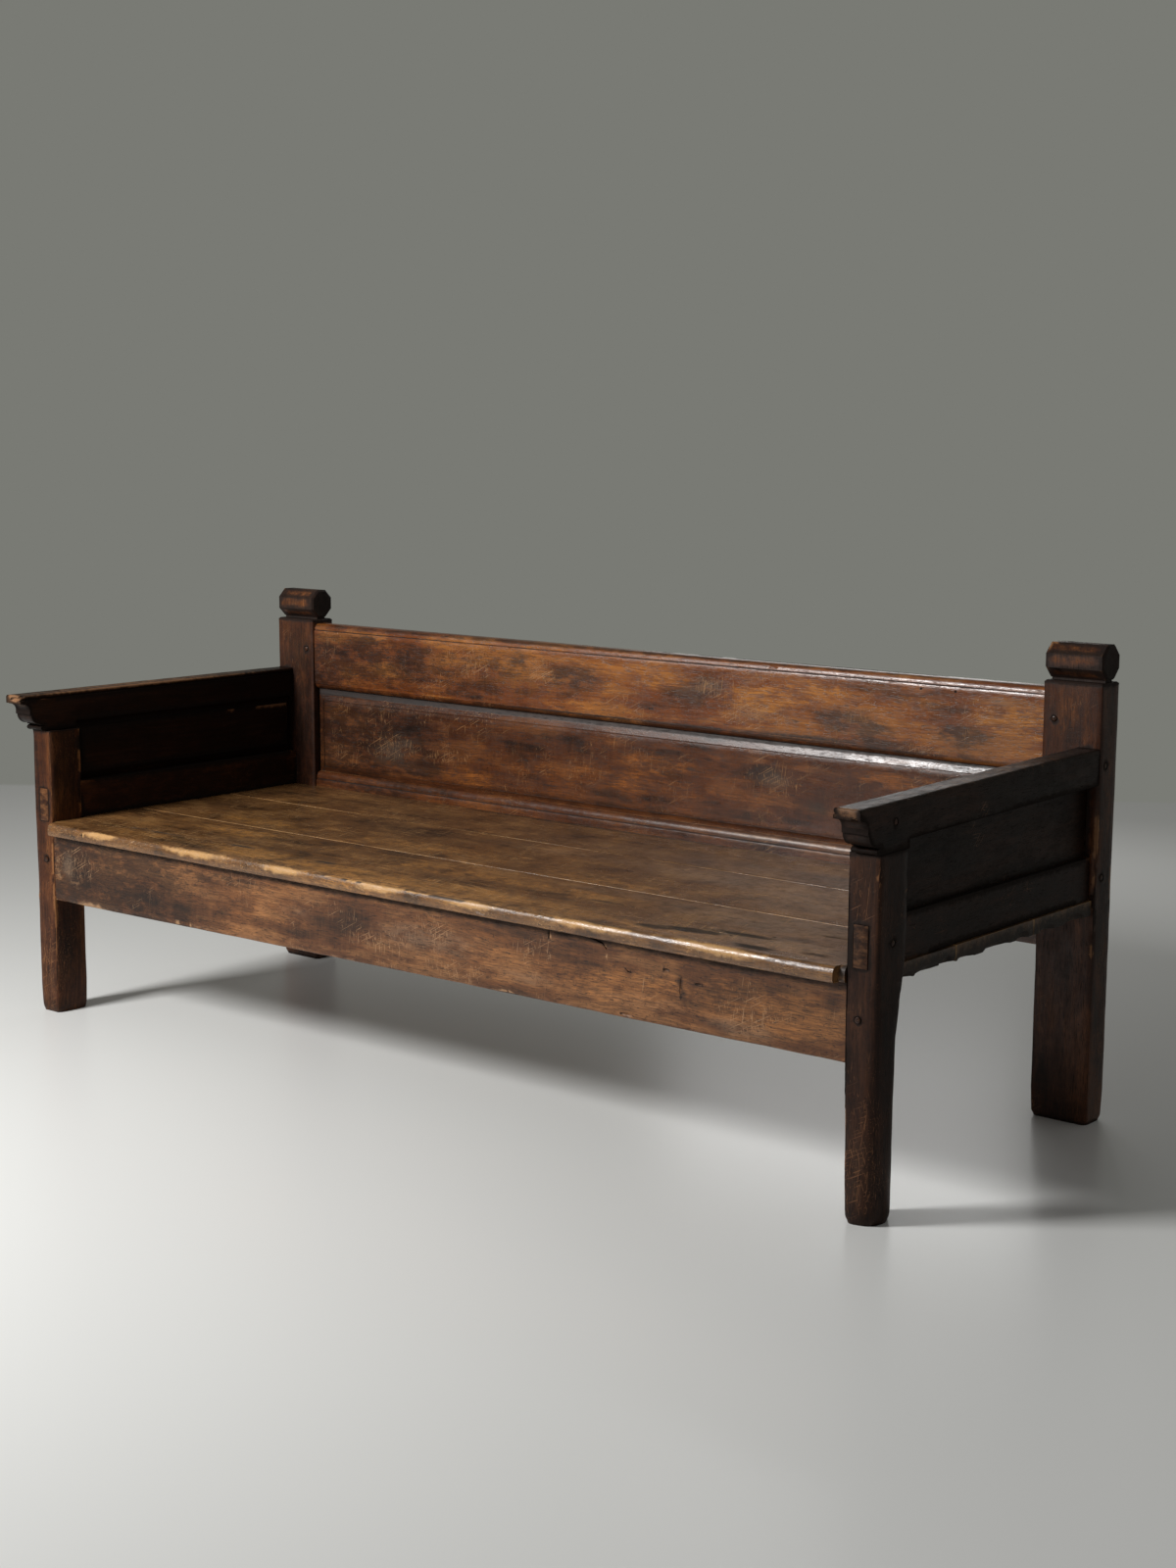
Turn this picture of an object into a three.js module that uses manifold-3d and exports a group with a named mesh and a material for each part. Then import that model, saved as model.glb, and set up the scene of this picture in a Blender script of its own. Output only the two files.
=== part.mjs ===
// A monks bench in old walnut: two rear posts with octagonal finials, two front posts, pegged
// mortise-and-tenon rails, fielded panels in grooves, and a seat of three long boards.
// Millimetres, +Z up, +X to the right of someone who faces the bench, the front towards -Y.
// The origin lies on the floor, below the middle of the bench's bounding box.

import * as THREE from 'three';
import { mergeVertices } from 'three/addons/utils/BufferGeometryUtils.js';
import Module from 'manifold-3d';

const wasm = await Module();
wasm.setup();

// Driving dimensions
const benchLength = 2190;
const bodyDepth = 796;
const seatTop = 430;
const armTop = 712;
const fitGap = 0.3;
const cutOverrun = 3;

const frontPost = { width: 62, depth: 84 };
const rearPost = { width: 120, depth: 66, height: 831, topChamfer: 3 };
const neck = { width: 108, depth: 26, height: 4 };
const finial = { height: 65, depth: 65, endChamfer: 4 };

const board = { thickness: 28, frontWidth: 268, middleWidth: 265, jointGap: 0.8, endInset: 7 };
const nose = { reach: 18, topRadius: 11, bottomRadius: 5, endInset: 15, cornerLoss: 14 };

const tenon = { length: 45, thickness: 20, shoulder: 14 };
const tongue = { depth: 8, thickness: 8 };

const frontRail = { bottom: 260, thickness: 36, setback: 3, edgeChamfer: 4 };
const backRail = { thickness: 34, setback: 5, tenonThickness: 16, tenonWeb: 29, tongueSetback: 20 };
const topRail = { drop: 10, height: 160, crownHeight: 13.5, crownDepth: 12, ovoloHeight: 12 };
const bottomRail = { top: 466, bottom: 330, mouldHeight: 17 };
const railOvolo = { depth: 12, quirk: 2 };
const railFillet = { height: 4, slant: 1.2, quirkHeight: 2.5, quirkDepth: 2.5 };
const backPanel = { fieldSetback: 7, endReveal: 20, bottomBevel: 11 };
const panelBevel = { height: 22, rise: 6.5, quirkWidth: 2.2, quirkDepth: 1.4 };
const panelFillet = { height: 5, rise: 1.1 };

const arm = { thickness: 50, height: 67, tenonThickness: 26, tenonShoulder: 10 };
const armFall = { left: 0, right: 12 };
const armBead = { height: 10, depth: 5, quirk: 1.5 };
const armEdgeRadius = 6;
const bracket = { bottom: 630, neckReach: 13, neckHeight: 13, neckQuirk: 3 };
const bracketOvolo = { reach: 24, height: 22 };
const bracketFillet = { reach: 3, height: 9 };
const bracketCove = { reach: 17, height: 15 };
const bracketLip = { reach: 7, quirk: 2, radius: 4 };

const sideRail = { height: 80, thickness: 42, innerInset: 7, tenonThickness: 27, tenonInset: 6 };
const sidePanel = { thickness: 18, outerSetback: 25, bevel: 17, step: 1.5 };
const stub = { thickness: 26, width: 44, height: 56 };

const bearer = { width: 60, height: 60, tenonLength: 18, tenonHeight: 34, endDistance: 333 };
const peg = { radius: 5.5, endRadius: 4.5, proud: 1, recess: 0.5, edgeDistance: 24 };
const blindPegPastTenon = 8;

const curveSteps = 8;
const cornerSteps = 4;
const pegSides = 10;
const holeSides = 16;
const finialSides = 8;

// Wear of the posts, from the foot up: the height as a share of the post's height, then how far the
// faces have worn in and the radii of the outer front, inner front, inner back and outer back
// corners, each as a share of the post's width.
const leftFrontWearShares = [
  [0.0, 0.055, 0.14, 0.12, 0.12, 0.14],
  [0.014, 0.01, 0.12, 0.07, 0.08, 0.12],
  [0.1, 0.0, 0.09, 0.05, 0.05, 0.1],
  [0.4, 0.0, 0.06, 0.04, 0.04, 0.08],
  [0.7, 0.0, 0.05, 0.05, 0.03, 0.04],
  [1.0, 0.0, 0.05, 0.04, 0.03, 0.03],
];
const rightFrontWearShares = [
  [0.0, 0.05, 0.52, 0.22, 0.2, 0.62],
  [0.016, 0.01, 0.5, 0.16, 0.14, 0.6],
  [0.13, 0.0, 0.45, 0.1, 0.08, 0.64],
  [0.3, 0.0, 0.36, 0.06, 0.05, 0.66],
  [0.48, 0.0, 0.28, 0.04, 0.04, 0.6],
  [0.6, 0.0, 0.2, 0.04, 0.03, 0.3],
  [0.68, 0.0, 0.15, 0.04, 0.03, 0.06],
  [0.86, 0.0, 0.11, 0.05, 0.03, 0.04],
  [0.93, 0.0, 0.06, 0.04, 0.03, 0.04],
  [1.0, 0.0, 0.05, 0.04, 0.03, 0.03],
];
const rearWearShares = [
  [0.0, 0.035, 0.1, 0.08, 0.07, 0.09],
  [0.012, 0.008, 0.07, 0.05, 0.04, 0.06],
  [0.07, 0.0, 0.04, 0.03, 0.025, 0.035],
  [0.5, 0.0, 0.022, 0.02, 0.02, 0.022],
  [1.0, 0.0, 0.022, 0.02, 0.02, 0.022],
];
const pegHeightShares = { topRail: 0.62, bottomRail: 0.38, frontRail: 0.6 };
const smallestRadius = 1.2;

const sides = [
  { name: 'left', sign: -1, fall: armFall.left, wearShares: leftFrontWearShares },
  { name: 'right', sign: 1, fall: armFall.right, wearShares: rightFrontWearShares },
];

// Planes that several pieces share
const outerX = benchLength / 2;
const frontPostInnerX = outerX - frontPost.width;
const rearPostInnerX = outerX - rearPost.width;
const noseReach = bracket.neckReach + bracketOvolo.reach + bracketFillet.reach
  + bracketCove.reach + bracketLip.reach;
const frontY = noseReach - (bodyDepth + noseReach) / 2;
const backY = frontY + bodyDepth;
const frontPostBackY = frontY + frontPost.depth;
const rearPostFrontY = backY - rearPost.depth;
const backTop = rearPost.height - topRail.drop;
const topRailBottom = backTop - topRail.height;
const seatBottom = seatTop - board.thickness;
const armBottom = armTop - arm.height;
const armInnerX = outerX - arm.thickness;
const sideRailInnerX = frontPostInnerX + sideRail.innerInset;
const sideRailOuterX = sideRailInnerX + sideRail.thickness;
const sideRailBottom = seatTop + fitGap;
const sideRailTop = seatTop + sideRail.height;
const sidePanelOuterX = outerX - sidePanel.outerSetback;
const sideTongueX = [sidePanelOuterX - tongue.thickness, sidePanelOuterX];
const backRailY = [rearPostFrontY + backRail.setback,
  rearPostFrontY + backRail.setback + backRail.thickness];
const backTongueY = [rearPostFrontY + backRail.tongueSetback,
  rearPostFrontY + backRail.tongueSetback + tongue.thickness];
const frontRailY = [frontY + frontRail.setback, frontY + frontRail.setback + frontRail.thickness];
const frontRailTop = seatBottom - fitGap;

const xAxis = new THREE.Vector3(1, 0, 0);
const yAxis = new THREE.Vector3(0, 1, 0);
const zAxis = new THREE.Vector3(0, 0, 1);

// The closed mesh of a geometry as a solid that can be joined and cut.
function solid(geometry) {
  const bare = geometry.index ? geometry.toNonIndexed() : geometry.clone();
  bare.deleteAttribute('normal');
  bare.deleteAttribute('uv');
  const merged = mergeVertices(bare);
  return new wasm.Manifold(new wasm.Mesh({
    numProp: 3,
    vertProperties: new Float32Array(merged.attributes.position.array),
    triVerts: new Uint32Array(merged.index.array),
  }));
}

function join(first, ...others) {
  return others.reduce((whole, other) => whole.add(other), first);
}

function cut(first, ...cutters) {
  return cutters.reduce((whole, cutter) => whole.subtract(cutter), first);
}

function geometryOf(body) {
  const mesh = body.getMesh();
  const geometry = new THREE.BufferGeometry();
  geometry.setAttribute('position', new THREE.BufferAttribute(mesh.vertProperties, 3));
  geometry.setIndex(new THREE.BufferAttribute(mesh.triVerts, 1));
  const faceted = geometry.toNonIndexed();
  faceted.computeVertexNormals();
  return faceted;
}

function grown([low, high], margin) {
  return [low - margin, high + margin];
}

// The range between two distances from the middle, on the given side.
function onSide(side, near, far) {
  return side.sign > 0 ? [near, far] : [-far, -near];
}

function block(xRange, yRange, zRange) {
  const [width, depth, height] = [xRange, yRange, zRange].map(([low, high]) => high - low);
  const geometry = new THREE.BoxGeometry(width, depth, height);
  geometry.translate(xRange[0] + width / 2, yRange[0] + depth / 2, zRange[0] + height / 2);
  return geometry;
}

function extruded(outline, length) {
  const shape = new THREE.Shape(outline.map(([u, v]) => new THREE.Vector2(u, v)));
  return new THREE.ExtrudeGeometry(shape, { depth: length, bevelEnabled: false });
}

// An outline of [y, z] points, run along X.
function runAlongX(outline, [low, high]) {
  const geometry = extruded(outline, high - low);
  geometry.applyMatrix4(new THREE.Matrix4().makeBasis(yAxis, zAxis, xAxis));
  return geometry.translate(low, 0, 0);
}

// An outline of [x, z] points, run along Y.
function runAlongY(outline, [low, high]) {
  const geometry = extruded(outline, high - low);
  geometry.applyMatrix4(new THREE.Matrix4().makeBasis(xAxis, zAxis, yAxis.clone().negate()));
  return geometry.translate(0, high, 0);
}

// An outline of [x, y] points, run along Z.
function runAlongZ(outline, [low, high]) {
  return extruded(outline, high - low).translate(0, 0, low);
}

// Points of an ellipse about [u, v], from one angle to another in degrees.
function arc([u, v], [radiusU, radiusV], from, to, steps = curveSteps) {
  return Array.from({ length: steps + 1 }, (unused, index) => {
    const angle = THREE.MathUtils.degToRad(from + ((to - from) * index) / steps);
    return [u + radiusU * Math.cos(angle), v + radiusV * Math.sin(angle)];
  });
}

// A closed skin over rings of points, each counter-clockwise seen from the last ring's side.
function loft(rings) {
  const count = rings[0].length;
  const faces = [];
  for (let level = 0; level < rings.length - 1; level += 1) {
    for (let index = 0; index < count; index += 1) {
      const next = (index + 1) % count;
      const [a, b] = [level * count + index, level * count + next];
      faces.push(a, b, b + count, a, b + count, a + count);
    }
  }
  const top = (rings.length - 1) * count;
  for (let index = 1; index < count - 1; index += 1) {
    faces.push(0, index + 1, index, top, top + index, top + index + 1);
  }
  const geometry = new THREE.BufferGeometry();
  const positions = rings.flat().flatMap((point) => point.toArray());
  geometry.setAttribute('position', new THREE.Float32BufferAttribute(positions, 3));
  geometry.setIndex(faces);
  return geometry;
}

// A rectangle with a radius of its own at each corner, counter-clockwise from the low corner.
function roundedRing([x0, x1], [y0, y1], z, radii) {
  const [a, b, c, d] = radii.map((radius) => Math.max(radius, smallestRadius));
  return [
    ...arc([x0 + a, y0 + a], [a, a], 180, 270, cornerSteps),
    ...arc([x1 - b, y0 + b], [b, b], 270, 360, cornerSteps),
    ...arc([x1 - c, y1 - c], [c, c], 0, 90, cornerSteps),
    ...arc([x0 + d, y1 - d], [d, d], 90, 180, cornerSteps),
  ].map(([x, y]) => new THREE.Vector3(x, y, z));
}

// A post lofted through its worn sections.
function wornPost(side, xRange, yRange, height, wearShares) {
  const width = xRange[1] - xRange[0];
  const rings = wearShares.map(([heightShare, wornShare, ...radiusShares]) => {
    const inset = wornShare * width;
    const [outerFront, innerFront, innerBack, outerBack] = radiusShares.map((s) => s * width);
    const radii = side.sign > 0
      ? [innerFront, outerFront, outerBack, innerBack]
      : [outerFront, innerFront, innerBack, outerBack];
    return roundedRing(grown(xRange, -inset), grown(yRange, -inset), heightShare * height, radii);
  });
  return loft(rings);
}

// How far the arm has sunk at a place along its length.
function fallAt(side, y) {
  return (side.fall * (rearPostFrontY - y)) / (rearPostFrontY - frontY + noseReach);
}

// Leans an arm about its rear shoulder, so that its nose sinks by the side's fall.
function leaned(side, geometry) {
  const slope = side.fall / (rearPostFrontY - frontY + noseReach);
  const lean = new THREE.Matrix4().set(
    1, 0, 0, 0,
    0, 1, 0, 0,
    0, slope, 1, -slope * rearPostFrontY,
    0, 0, 0, 1,
  );
  return geometry.applyMatrix4(lean);
}

// Pegs: where each one goes in, the way it points and how long it is
function pegAcross(name, side, y, z, tenonInnerX) {
  const startX = outerX - peg.recess;
  return {
    name: `${name}_${side.name}`,
    start: new THREE.Vector3(side.sign * startX, y, z),
    way: new THREE.Vector3(-side.sign, 0, 0),
    length: startX - tenonInnerX + blindPegPastTenon,
  };
}

function pegInward(name, side, x, startY, z, length) {
  return {
    name: `${name}_${side.name}`,
    start: new THREE.Vector3(side.sign * x, startY, z),
    way: yAxis,
    length,
  };
}

const backPegX = rearPostInnerX + peg.edgeDistance;
const frontPegX = frontPostInnerX + peg.edgeDistance;
const postMiddleY = frontY + frontPost.depth / 2;
const rearPegY = rearPostFrontY + peg.edgeDistance;
const sideRailMiddleZ = (sideRailBottom + sideRailTop) / 2;
const armMiddleZ = (armBottom + armTop) / 2;
const armTenonInnerX = armInnerX + (arm.thickness - arm.tenonThickness) / 2;
const sideTenonInnerX = sideRailInnerX + sideRail.tenonInset;
const backTenonReach = armTenonInnerX - backRail.tenonWeb;
const frontTenonBackY = (frontRailY[0] + frontRailY[1] + tenon.thickness) / 2;

function zAtShare(bottom, top, share) {
  return bottom + (top - bottom) * share;
}

function pegsOf(side) {
  const throughLength = rearPost.depth + peg.proud - peg.recess;
  const rearStart = rearPostFrontY - peg.proud;
  const topZ = zAtShare(topRailBottom, backTop, pegHeightShares.topRail);
  const bottomZ = zAtShare(bottomRail.bottom, bottomRail.top, pegHeightShares.bottomRail);
  const frontZ = zAtShare(frontRail.bottom, frontRailTop, pegHeightShares.frontRail);
  const armFrontZ = armMiddleZ - fallAt(side, postMiddleY);
  const frontStart = frontY - peg.proud;
  const frontLength = frontTenonBackY + blindPegPastTenon - frontStart;
  return {
    topRail: pegInward('peg_top_rail', side, backPegX, rearStart, topZ, throughLength),
    bottomRail: pegInward('peg_bottom_rail', side, backPegX, rearStart, bottomZ, throughLength),
    frontRail: pegInward('peg_front_rail', side, frontPegX, frontStart, frontZ, frontLength),
    armFront: pegAcross('peg_arm_front', side, postMiddleY, armFrontZ, stubX[0]),
    armRear: pegAcross('peg_arm_rear', side, rearPegY, armMiddleZ, armTenonInnerX),
    sideFront: pegAcross('peg_side_rail_front', side, postMiddleY, sideRailMiddleZ,
      sideTenonInnerX),
    sideRear: pegAcross('peg_side_rail_rear', side, rearPegY, sideRailMiddleZ, sideTenonInnerX),
  };
}

function pin({ start, way, length }, startRadius, endRadius, segments) {
  const geometry = new THREE.CylinderGeometry(endRadius, startRadius, length, segments);
  geometry.translate(0, length / 2, 0);
  geometry.applyQuaternion(new THREE.Quaternion().setFromUnitVectors(yAxis, way));
  return geometry.translate(start.x, start.y, start.z);
}

function pegSolid(place) {
  return solid(pin(place, peg.radius, peg.endRadius, pegSides));
}

function pegHole(place) {
  const start = place.start.clone().addScaledVector(place.way, -cutOverrun);
  const length = place.length + cutOverrun + fitGap;
  const radius = peg.radius + fitGap;
  return solid(pin({ start, way: place.way, length }, radius, radius, holeSides));
}

// Front posts
const frontPostY = [frontY, frontPostBackY];
const stubX = [armInnerX + (arm.thickness - stub.thickness) / 2,
  armInnerX + (arm.thickness + stub.thickness) / 2];
const stubY = [postMiddleY - stub.width / 2, postMiddleY + stub.width / 2];
const stubTop = bracket.bottom + stub.height;

function stubRanges(side, margin) {
  const bottom = bracket.bottom - stub.height / 2;
  const top = stubTop - side.fall;
  return [grown(onSide(side, ...stubX), margin), grown(stubY, margin), [bottom, top + margin]];
}

function makeFrontPost(side, pegs) {
  const xRange = onSide(side, frontPostInnerX, outerX);
  const column = solid(wornPost(side, xRange, frontPostY, armBottom, side.wearShares));
  const armSpace = solid(leaned(side, runAlongX(
    armOutline().map(([y, z]) => [y, z - fitGap]),
    grown(xRange, cutOverrun),
  )));
  return cut(
    join(cut(column, armSpace), solid(block(...stubRanges(side, 0)))),
    solid(block(...sideTenonRanges(side, frontPostY, fitGap))),
    solid(sidePanelGroove(side)),
    solid(block(...frontTenonRanges(side, fitGap))),
    pegHole(pegs.frontRail),
    pegHole(pegs.sideFront),
    pegHole(pegs.armFront),
  );
}

// Rear posts, each carved from one piece with its neck and its octagonal finial
function finialGeometry(xRange) {
  const middleY = backY - rearPost.depth / 2;
  const middleZ = rearPost.height + neck.height + finial.height / 2;
  const corner = 1 / Math.cos(Math.PI / finialSides);
  const ring = (x, inset) => Array.from({ length: finialSides }, (unused, index) => {
    const angle = ((index + 1 / 2) * 2 * Math.PI) / finialSides;
    const [radiusY, radiusZ] = [finial.depth / 2 - inset, finial.height / 2 - inset];
    return new THREE.Vector3(
      x,
      middleY + radiusY * corner * Math.cos(angle),
      middleZ + radiusZ * corner * Math.sin(angle),
    );
  });
  const { endChamfer } = finial;
  const [low, high] = xRange;
  return loft([
    ring(low, endChamfer),
    ring(low + endChamfer, 0),
    ring(high - endChamfer, 0),
    ring(high, endChamfer),
  ]);
}

function neckGeometry([low, high]) {
  const middleX = (low + high) / 2;
  const middleY = backY - rearPost.depth / 2;
  const overlap = neck.height / 2;
  return block(
    [middleX - neck.width / 2, middleX + neck.width / 2],
    [middleY - neck.depth / 2, middleY + neck.depth / 2],
    [rearPost.height - overlap, rearPost.height + neck.height + overlap],
  );
}

function rearColumn(side, xRange) {
  const yRange = [rearPostFrontY, backY];
  const shoulder = rearPost.height - rearPost.topChamfer;
  const column = solid(wornPost(side, xRange, yRange, shoulder, rearWearShares));
  const rim = rearPost.topChamfer;
  const cap = solid(loft([
    roundedRing(xRange, yRange, shoulder, [rim, rim, rim, rim]),
    roundedRing(grown(xRange, -rim), grown(yRange, -rim), rearPost.height, [rim, rim, rim, rim]),
  ]));
  return join(column, cap);
}

function armTenonRanges(side, margin) {
  const armTenonOuterX = armTenonInnerX + arm.tenonThickness;
  return [
    grown(onSide(side, armTenonInnerX, armTenonOuterX), margin),
    [rearPostFrontY - tenon.shoulder, rearPostFrontY + tenon.length + margin],
    grown([armBottom + arm.tenonShoulder, armTop - arm.tenonShoulder], margin),
  ];
}

function makeRearPost(side, pegs) {
  const xRange = onSide(side, rearPostInnerX, outerX);
  const column = join(
    rearColumn(side, xRange),
    solid(neckGeometry(xRange)),
    solid(finialGeometry(xRange)),
  );
  const rearTenonY = [rearPostFrontY - cutOverrun, rearPostFrontY + tenon.length];
  return cut(
    column,
    solid(block(...sideTenonRanges(side, rearTenonY, fitGap))),
    solid(block(...armTenonRanges(side, fitGap))),
    solid(sidePanelGroove(side)),
    solid(backPanelGroove()),
    ...backRails.map((rail) => solid(block(...backTenonRanges(side, rail, fitGap)))),
    pegHole(pegs.topRail),
    pegHole(pegs.bottomRail),
    pegHole(pegs.armRear),
    pegHole(pegs.sideRear),
  );
}

// Arm rails: a moulded section cut by the outline of the bracket at the nose
function armOutline() {
  const neckTop = bracket.bottom + bracket.neckHeight;
  const ovoloBottom = neckTop + bracket.neckQuirk;
  const ovoloTop = ovoloBottom + bracketOvolo.height;
  const coveBottom = ovoloTop + bracketFillet.height;
  const coveTop = coveBottom + bracketCove.height;
  const lipBottom = coveTop + bracketLip.quirk;
  const neckY = frontY - bracket.neckReach;
  const ovoloY = neckY - bracketOvolo.reach;
  const filletY = ovoloY - bracketFillet.reach;
  const coveY = filletY - bracketCove.reach;
  const lipY = coveY - bracketLip.reach;
  const neckMiddle = bracket.bottom + bracket.neckHeight / 2;
  return [
    [rearPostFrontY - fitGap, armBottom],
    [frontPostBackY, armBottom],
    [frontPostBackY, bracket.bottom],
    ...arc([frontY, neckMiddle], [bracket.neckReach, bracket.neckHeight / 2], 270, 90),
    [neckY + bracket.neckQuirk, neckTop],
    ...arc([neckY, ovoloTop], [bracketOvolo.reach, bracketOvolo.height], 270, 180),
    [filletY, ovoloTop],
    [filletY, coveBottom],
    ...arc([coveY, coveBottom], [bracketCove.reach, bracketCove.height], 0, 90).slice(1),
    [coveY, lipBottom],
    [lipY, lipBottom],
    ...arc([lipY + bracketLip.radius, armTop - bracketLip.radius],
      [bracketLip.radius, bracketLip.radius], 180, 90),
    [rearPostFrontY - fitGap, armTop],
  ];
}

function armSection(side) {
  const beadBottom = armTop - armBead.height;
  const bead = arc([armInnerX + armBead.depth, armTop - armBead.height / 2],
    [armBead.depth, armBead.height / 2], 240, 90);
  const low = bracket.bottom - cutOverrun;
  return [
    [armInnerX, low],
    [armInnerX, beadBottom - armBead.quirk],
    [armInnerX + armBead.depth / 2, beadBottom - armBead.quirk],
    ...bead,
    ...arc([outerX - armEdgeRadius, armTop - armEdgeRadius], [armEdgeRadius, armEdgeRadius], 90, 0),
    [outerX, low],
  ].map(([x, z]) => [side.sign * x, z]);
}

function makeArmRail(side, pegs) {
  const [noseY, rearY] = [frontY - noseReach, rearPostFrontY - fitGap];
  const bar = solid(leaned(side, runAlongY(armSection(side), grown([noseY, rearY], cutOverrun))));
  const profile = solid(leaned(side, runAlongX(
    armOutline(),
    grown(onSide(side, armInnerX, outerX), cutOverrun),
  )));
  return cut(
    join(bar.intersect(profile), solid(block(...armTenonRanges(side, 0)))),
    solid(block(...stubRanges(side, fitGap))),
    solid(sidePanelGroove(side)),
    pegHole(pegs.armFront),
    pegHole(pegs.armRear),
  );
}

// Side panels, fielded towards the seat, in grooves all round
function sidePanelCorners(side, margin) {
  const [front, rear] = grown([frontPostBackY - tongue.depth, rearPostFrontY + tongue.depth],
    margin - fitGap);
  const bottom = sideRailTop - tongue.depth - margin + fitGap;
  const top = armBottom + tongue.depth + margin - fitGap;
  return [
    [front, bottom],
    [rear, bottom],
    [rear, top - fallAt(side, rear)],
    [front, top - fallAt(side, front)],
  ];
}

function sidePanelGroove(side) {
  return runAlongX(sidePanelCorners(side, fitGap), grown(onSide(side, ...sideTongueX), fitGap));
}

// A panel lofted through rings, in its own frame: u to the right, v up and w out of its face.
function fieldedPanel(corners, steps, axes) {
  const rings = steps.map(({ ends, top, bottom, w }) => {
    const [[u0, v0], [u1, v1], [u2, v2], [u3, v3]] = corners;
    return [
      new THREE.Vector3(u0 + ends, v0 + bottom, w),
      new THREE.Vector3(u1 - ends, v1 + bottom, w),
      new THREE.Vector3(u2 - ends, v2 - top, w),
      new THREE.Vector3(u3 + ends, v3 - top, w),
    ];
  });
  return loft(rings).applyMatrix4(new THREE.Matrix4().makeBasis(...axes));
}

function evenStep(margin, w) {
  return { ends: margin, top: margin, bottom: margin, w };
}

function makeSidePanel(side) {
  const outward = side.sign > 0;
  const corners = sidePanelCorners(side, 0);
  const [[front, bottom], [rear], [, rearTop], [, frontTop]] = corners;
  const seen = outward
    ? [[-rear, bottom], [-front, bottom], [-front, frontTop], [-rear, rearTop]]
    : corners;
  const faceAxis = xAxis.clone().multiplyScalar(-side.sign);
  const axes = [yAxis.clone().multiplyScalar(-side.sign), zAxis, faceAxis];
  const fieldMargin = tongue.depth + sidePanel.bevel;
  return solid(fieldedPanel(seen, [
    evenStep(0, 0),
    evenStep(0, tongue.thickness),
    evenStep(tongue.depth, tongue.thickness),
    evenStep(fieldMargin, sidePanel.thickness - sidePanel.step),
    evenStep(fieldMargin, sidePanel.thickness),
  ], axes).translate(side.sign * sidePanelOuterX, 0, 0));
}

// Side rails, on the ends of the seat boards and through the front posts
function sideTenonRanges(side, yRange, margin) {
  return [
    grown(onSide(side, sideTenonInnerX, sideTenonInnerX + sideRail.tenonThickness), margin),
    [yRange[0] - margin, yRange[1] + margin],
    grown([sideRailBottom + fitGap, sideRailTop - tongue.depth - fitGap], margin),
  ];
}

function makeSideRail(side, pegs) {
  const body = solid(block(
    onSide(side, sideRailInnerX, sideRailOuterX),
    [frontPostBackY + fitGap, rearPostFrontY - fitGap],
    [sideRailBottom, sideRailTop],
  ));
  const tenonY = [frontY, rearPostFrontY + tenon.length];
  return cut(
    join(body, solid(block(...sideTenonRanges(side, tenonY, 0)))),
    solid(sidePanelGroove(side)),
    pegHole(pegs.sideFront),
    pegHole(pegs.sideRear),
  );
}

// Front rail
function frontTenonRanges(side, margin) {
  const middleY = (frontRailY[0] + frontRailY[1]) / 2;
  return [
    onSide(side, frontPostInnerX - tenon.shoulder, frontPostInnerX + tenon.length + margin),
    grown([middleY - tenon.thickness / 2, middleY + tenon.thickness / 2], margin),
    grown([frontRail.bottom + tenon.shoulder, frontRailTop - tenon.shoulder], margin),
  ];
}

function makeFrontRail(pegsBySide) {
  const { bottom, edgeChamfer } = frontRail;
  const [front, back] = frontRailY;
  const outline = [
    [front + edgeChamfer, bottom],
    [back, bottom],
    [back, frontRailTop],
    [front, frontRailTop],
    [front, bottom + edgeChamfer],
  ];
  const half = frontPostInnerX - fitGap;
  const body = solid(runAlongX(outline, [-half, half]));
  return cut(
    join(body, ...sides.map((side) => solid(block(...frontTenonRanges(side, 0))))),
    ...bearerPlaces().map((x) => solid(block(...bearerTenonRanges(x, fitGap)))),
    ...pegsBySide.map((pegs) => pegHole(pegs.frontRail)),
  );
}

// Back rails: the top rail has a crown and a lower ovolo, the bottom rail an upper one
const backRails = [
  { name: 'back_top_rail', bottom: topRailBottom, top: backTop, pegName: 'topRail' },
  { name: 'back_bottom_rail', bottom: bottomRail.bottom, top: bottomRail.top,
    pegName: 'bottomRail' },
];

function backTenonRanges(side, rail, margin) {
  const middleY = (backRailY[0] + backRailY[1]) / 2;
  const half = backRail.tenonThickness / 2;
  return [
    onSide(side, rearPostInnerX - tenon.shoulder, backTenonReach + margin),
    grown([middleY - half, middleY + half], margin),
    grown([rail.bottom + tenon.shoulder, rail.top - tenon.shoulder], margin),
  ];
}

// From a round's lower end down to the flat face: a quirk and a fillet that slants outwards
function quirkAndFillet(front, roundBottom, roundFront) {
  const { height, slant, quirkHeight, quirkDepth } = railFillet;
  const filletTop = roundBottom - quirkHeight;
  const quirkBack = front + slant + quirkDepth;
  return [
    [roundFront, roundBottom],
    [quirkBack, roundBottom],
    [quirkBack, filletTop],
    [front + slant, filletTop],
    [front, filletTop - height],
  ];
}

function topRailOutline() {
  const [front, back] = backRailY;
  const { crownHeight, crownDepth, ovoloHeight } = topRail;
  const crownBottom = backTop - crownHeight;
  const ovoloTop = topRailBottom + ovoloHeight;
  const roundFront = front + railOvolo.quirk;
  return [
    [back, topRailBottom],
    [back, backTop],
    ...arc([roundFront + crownDepth, crownBottom], [crownDepth, crownHeight], 90, 180)
      .slice(0, -1),
    ...quirkAndFillet(front, crownBottom, roundFront),
    [front, ovoloTop],
    [roundFront, ovoloTop],
    ...arc([roundFront + railOvolo.depth, ovoloTop], [railOvolo.depth, ovoloHeight], 180, 270)
      .slice(1),
  ];
}

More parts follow.
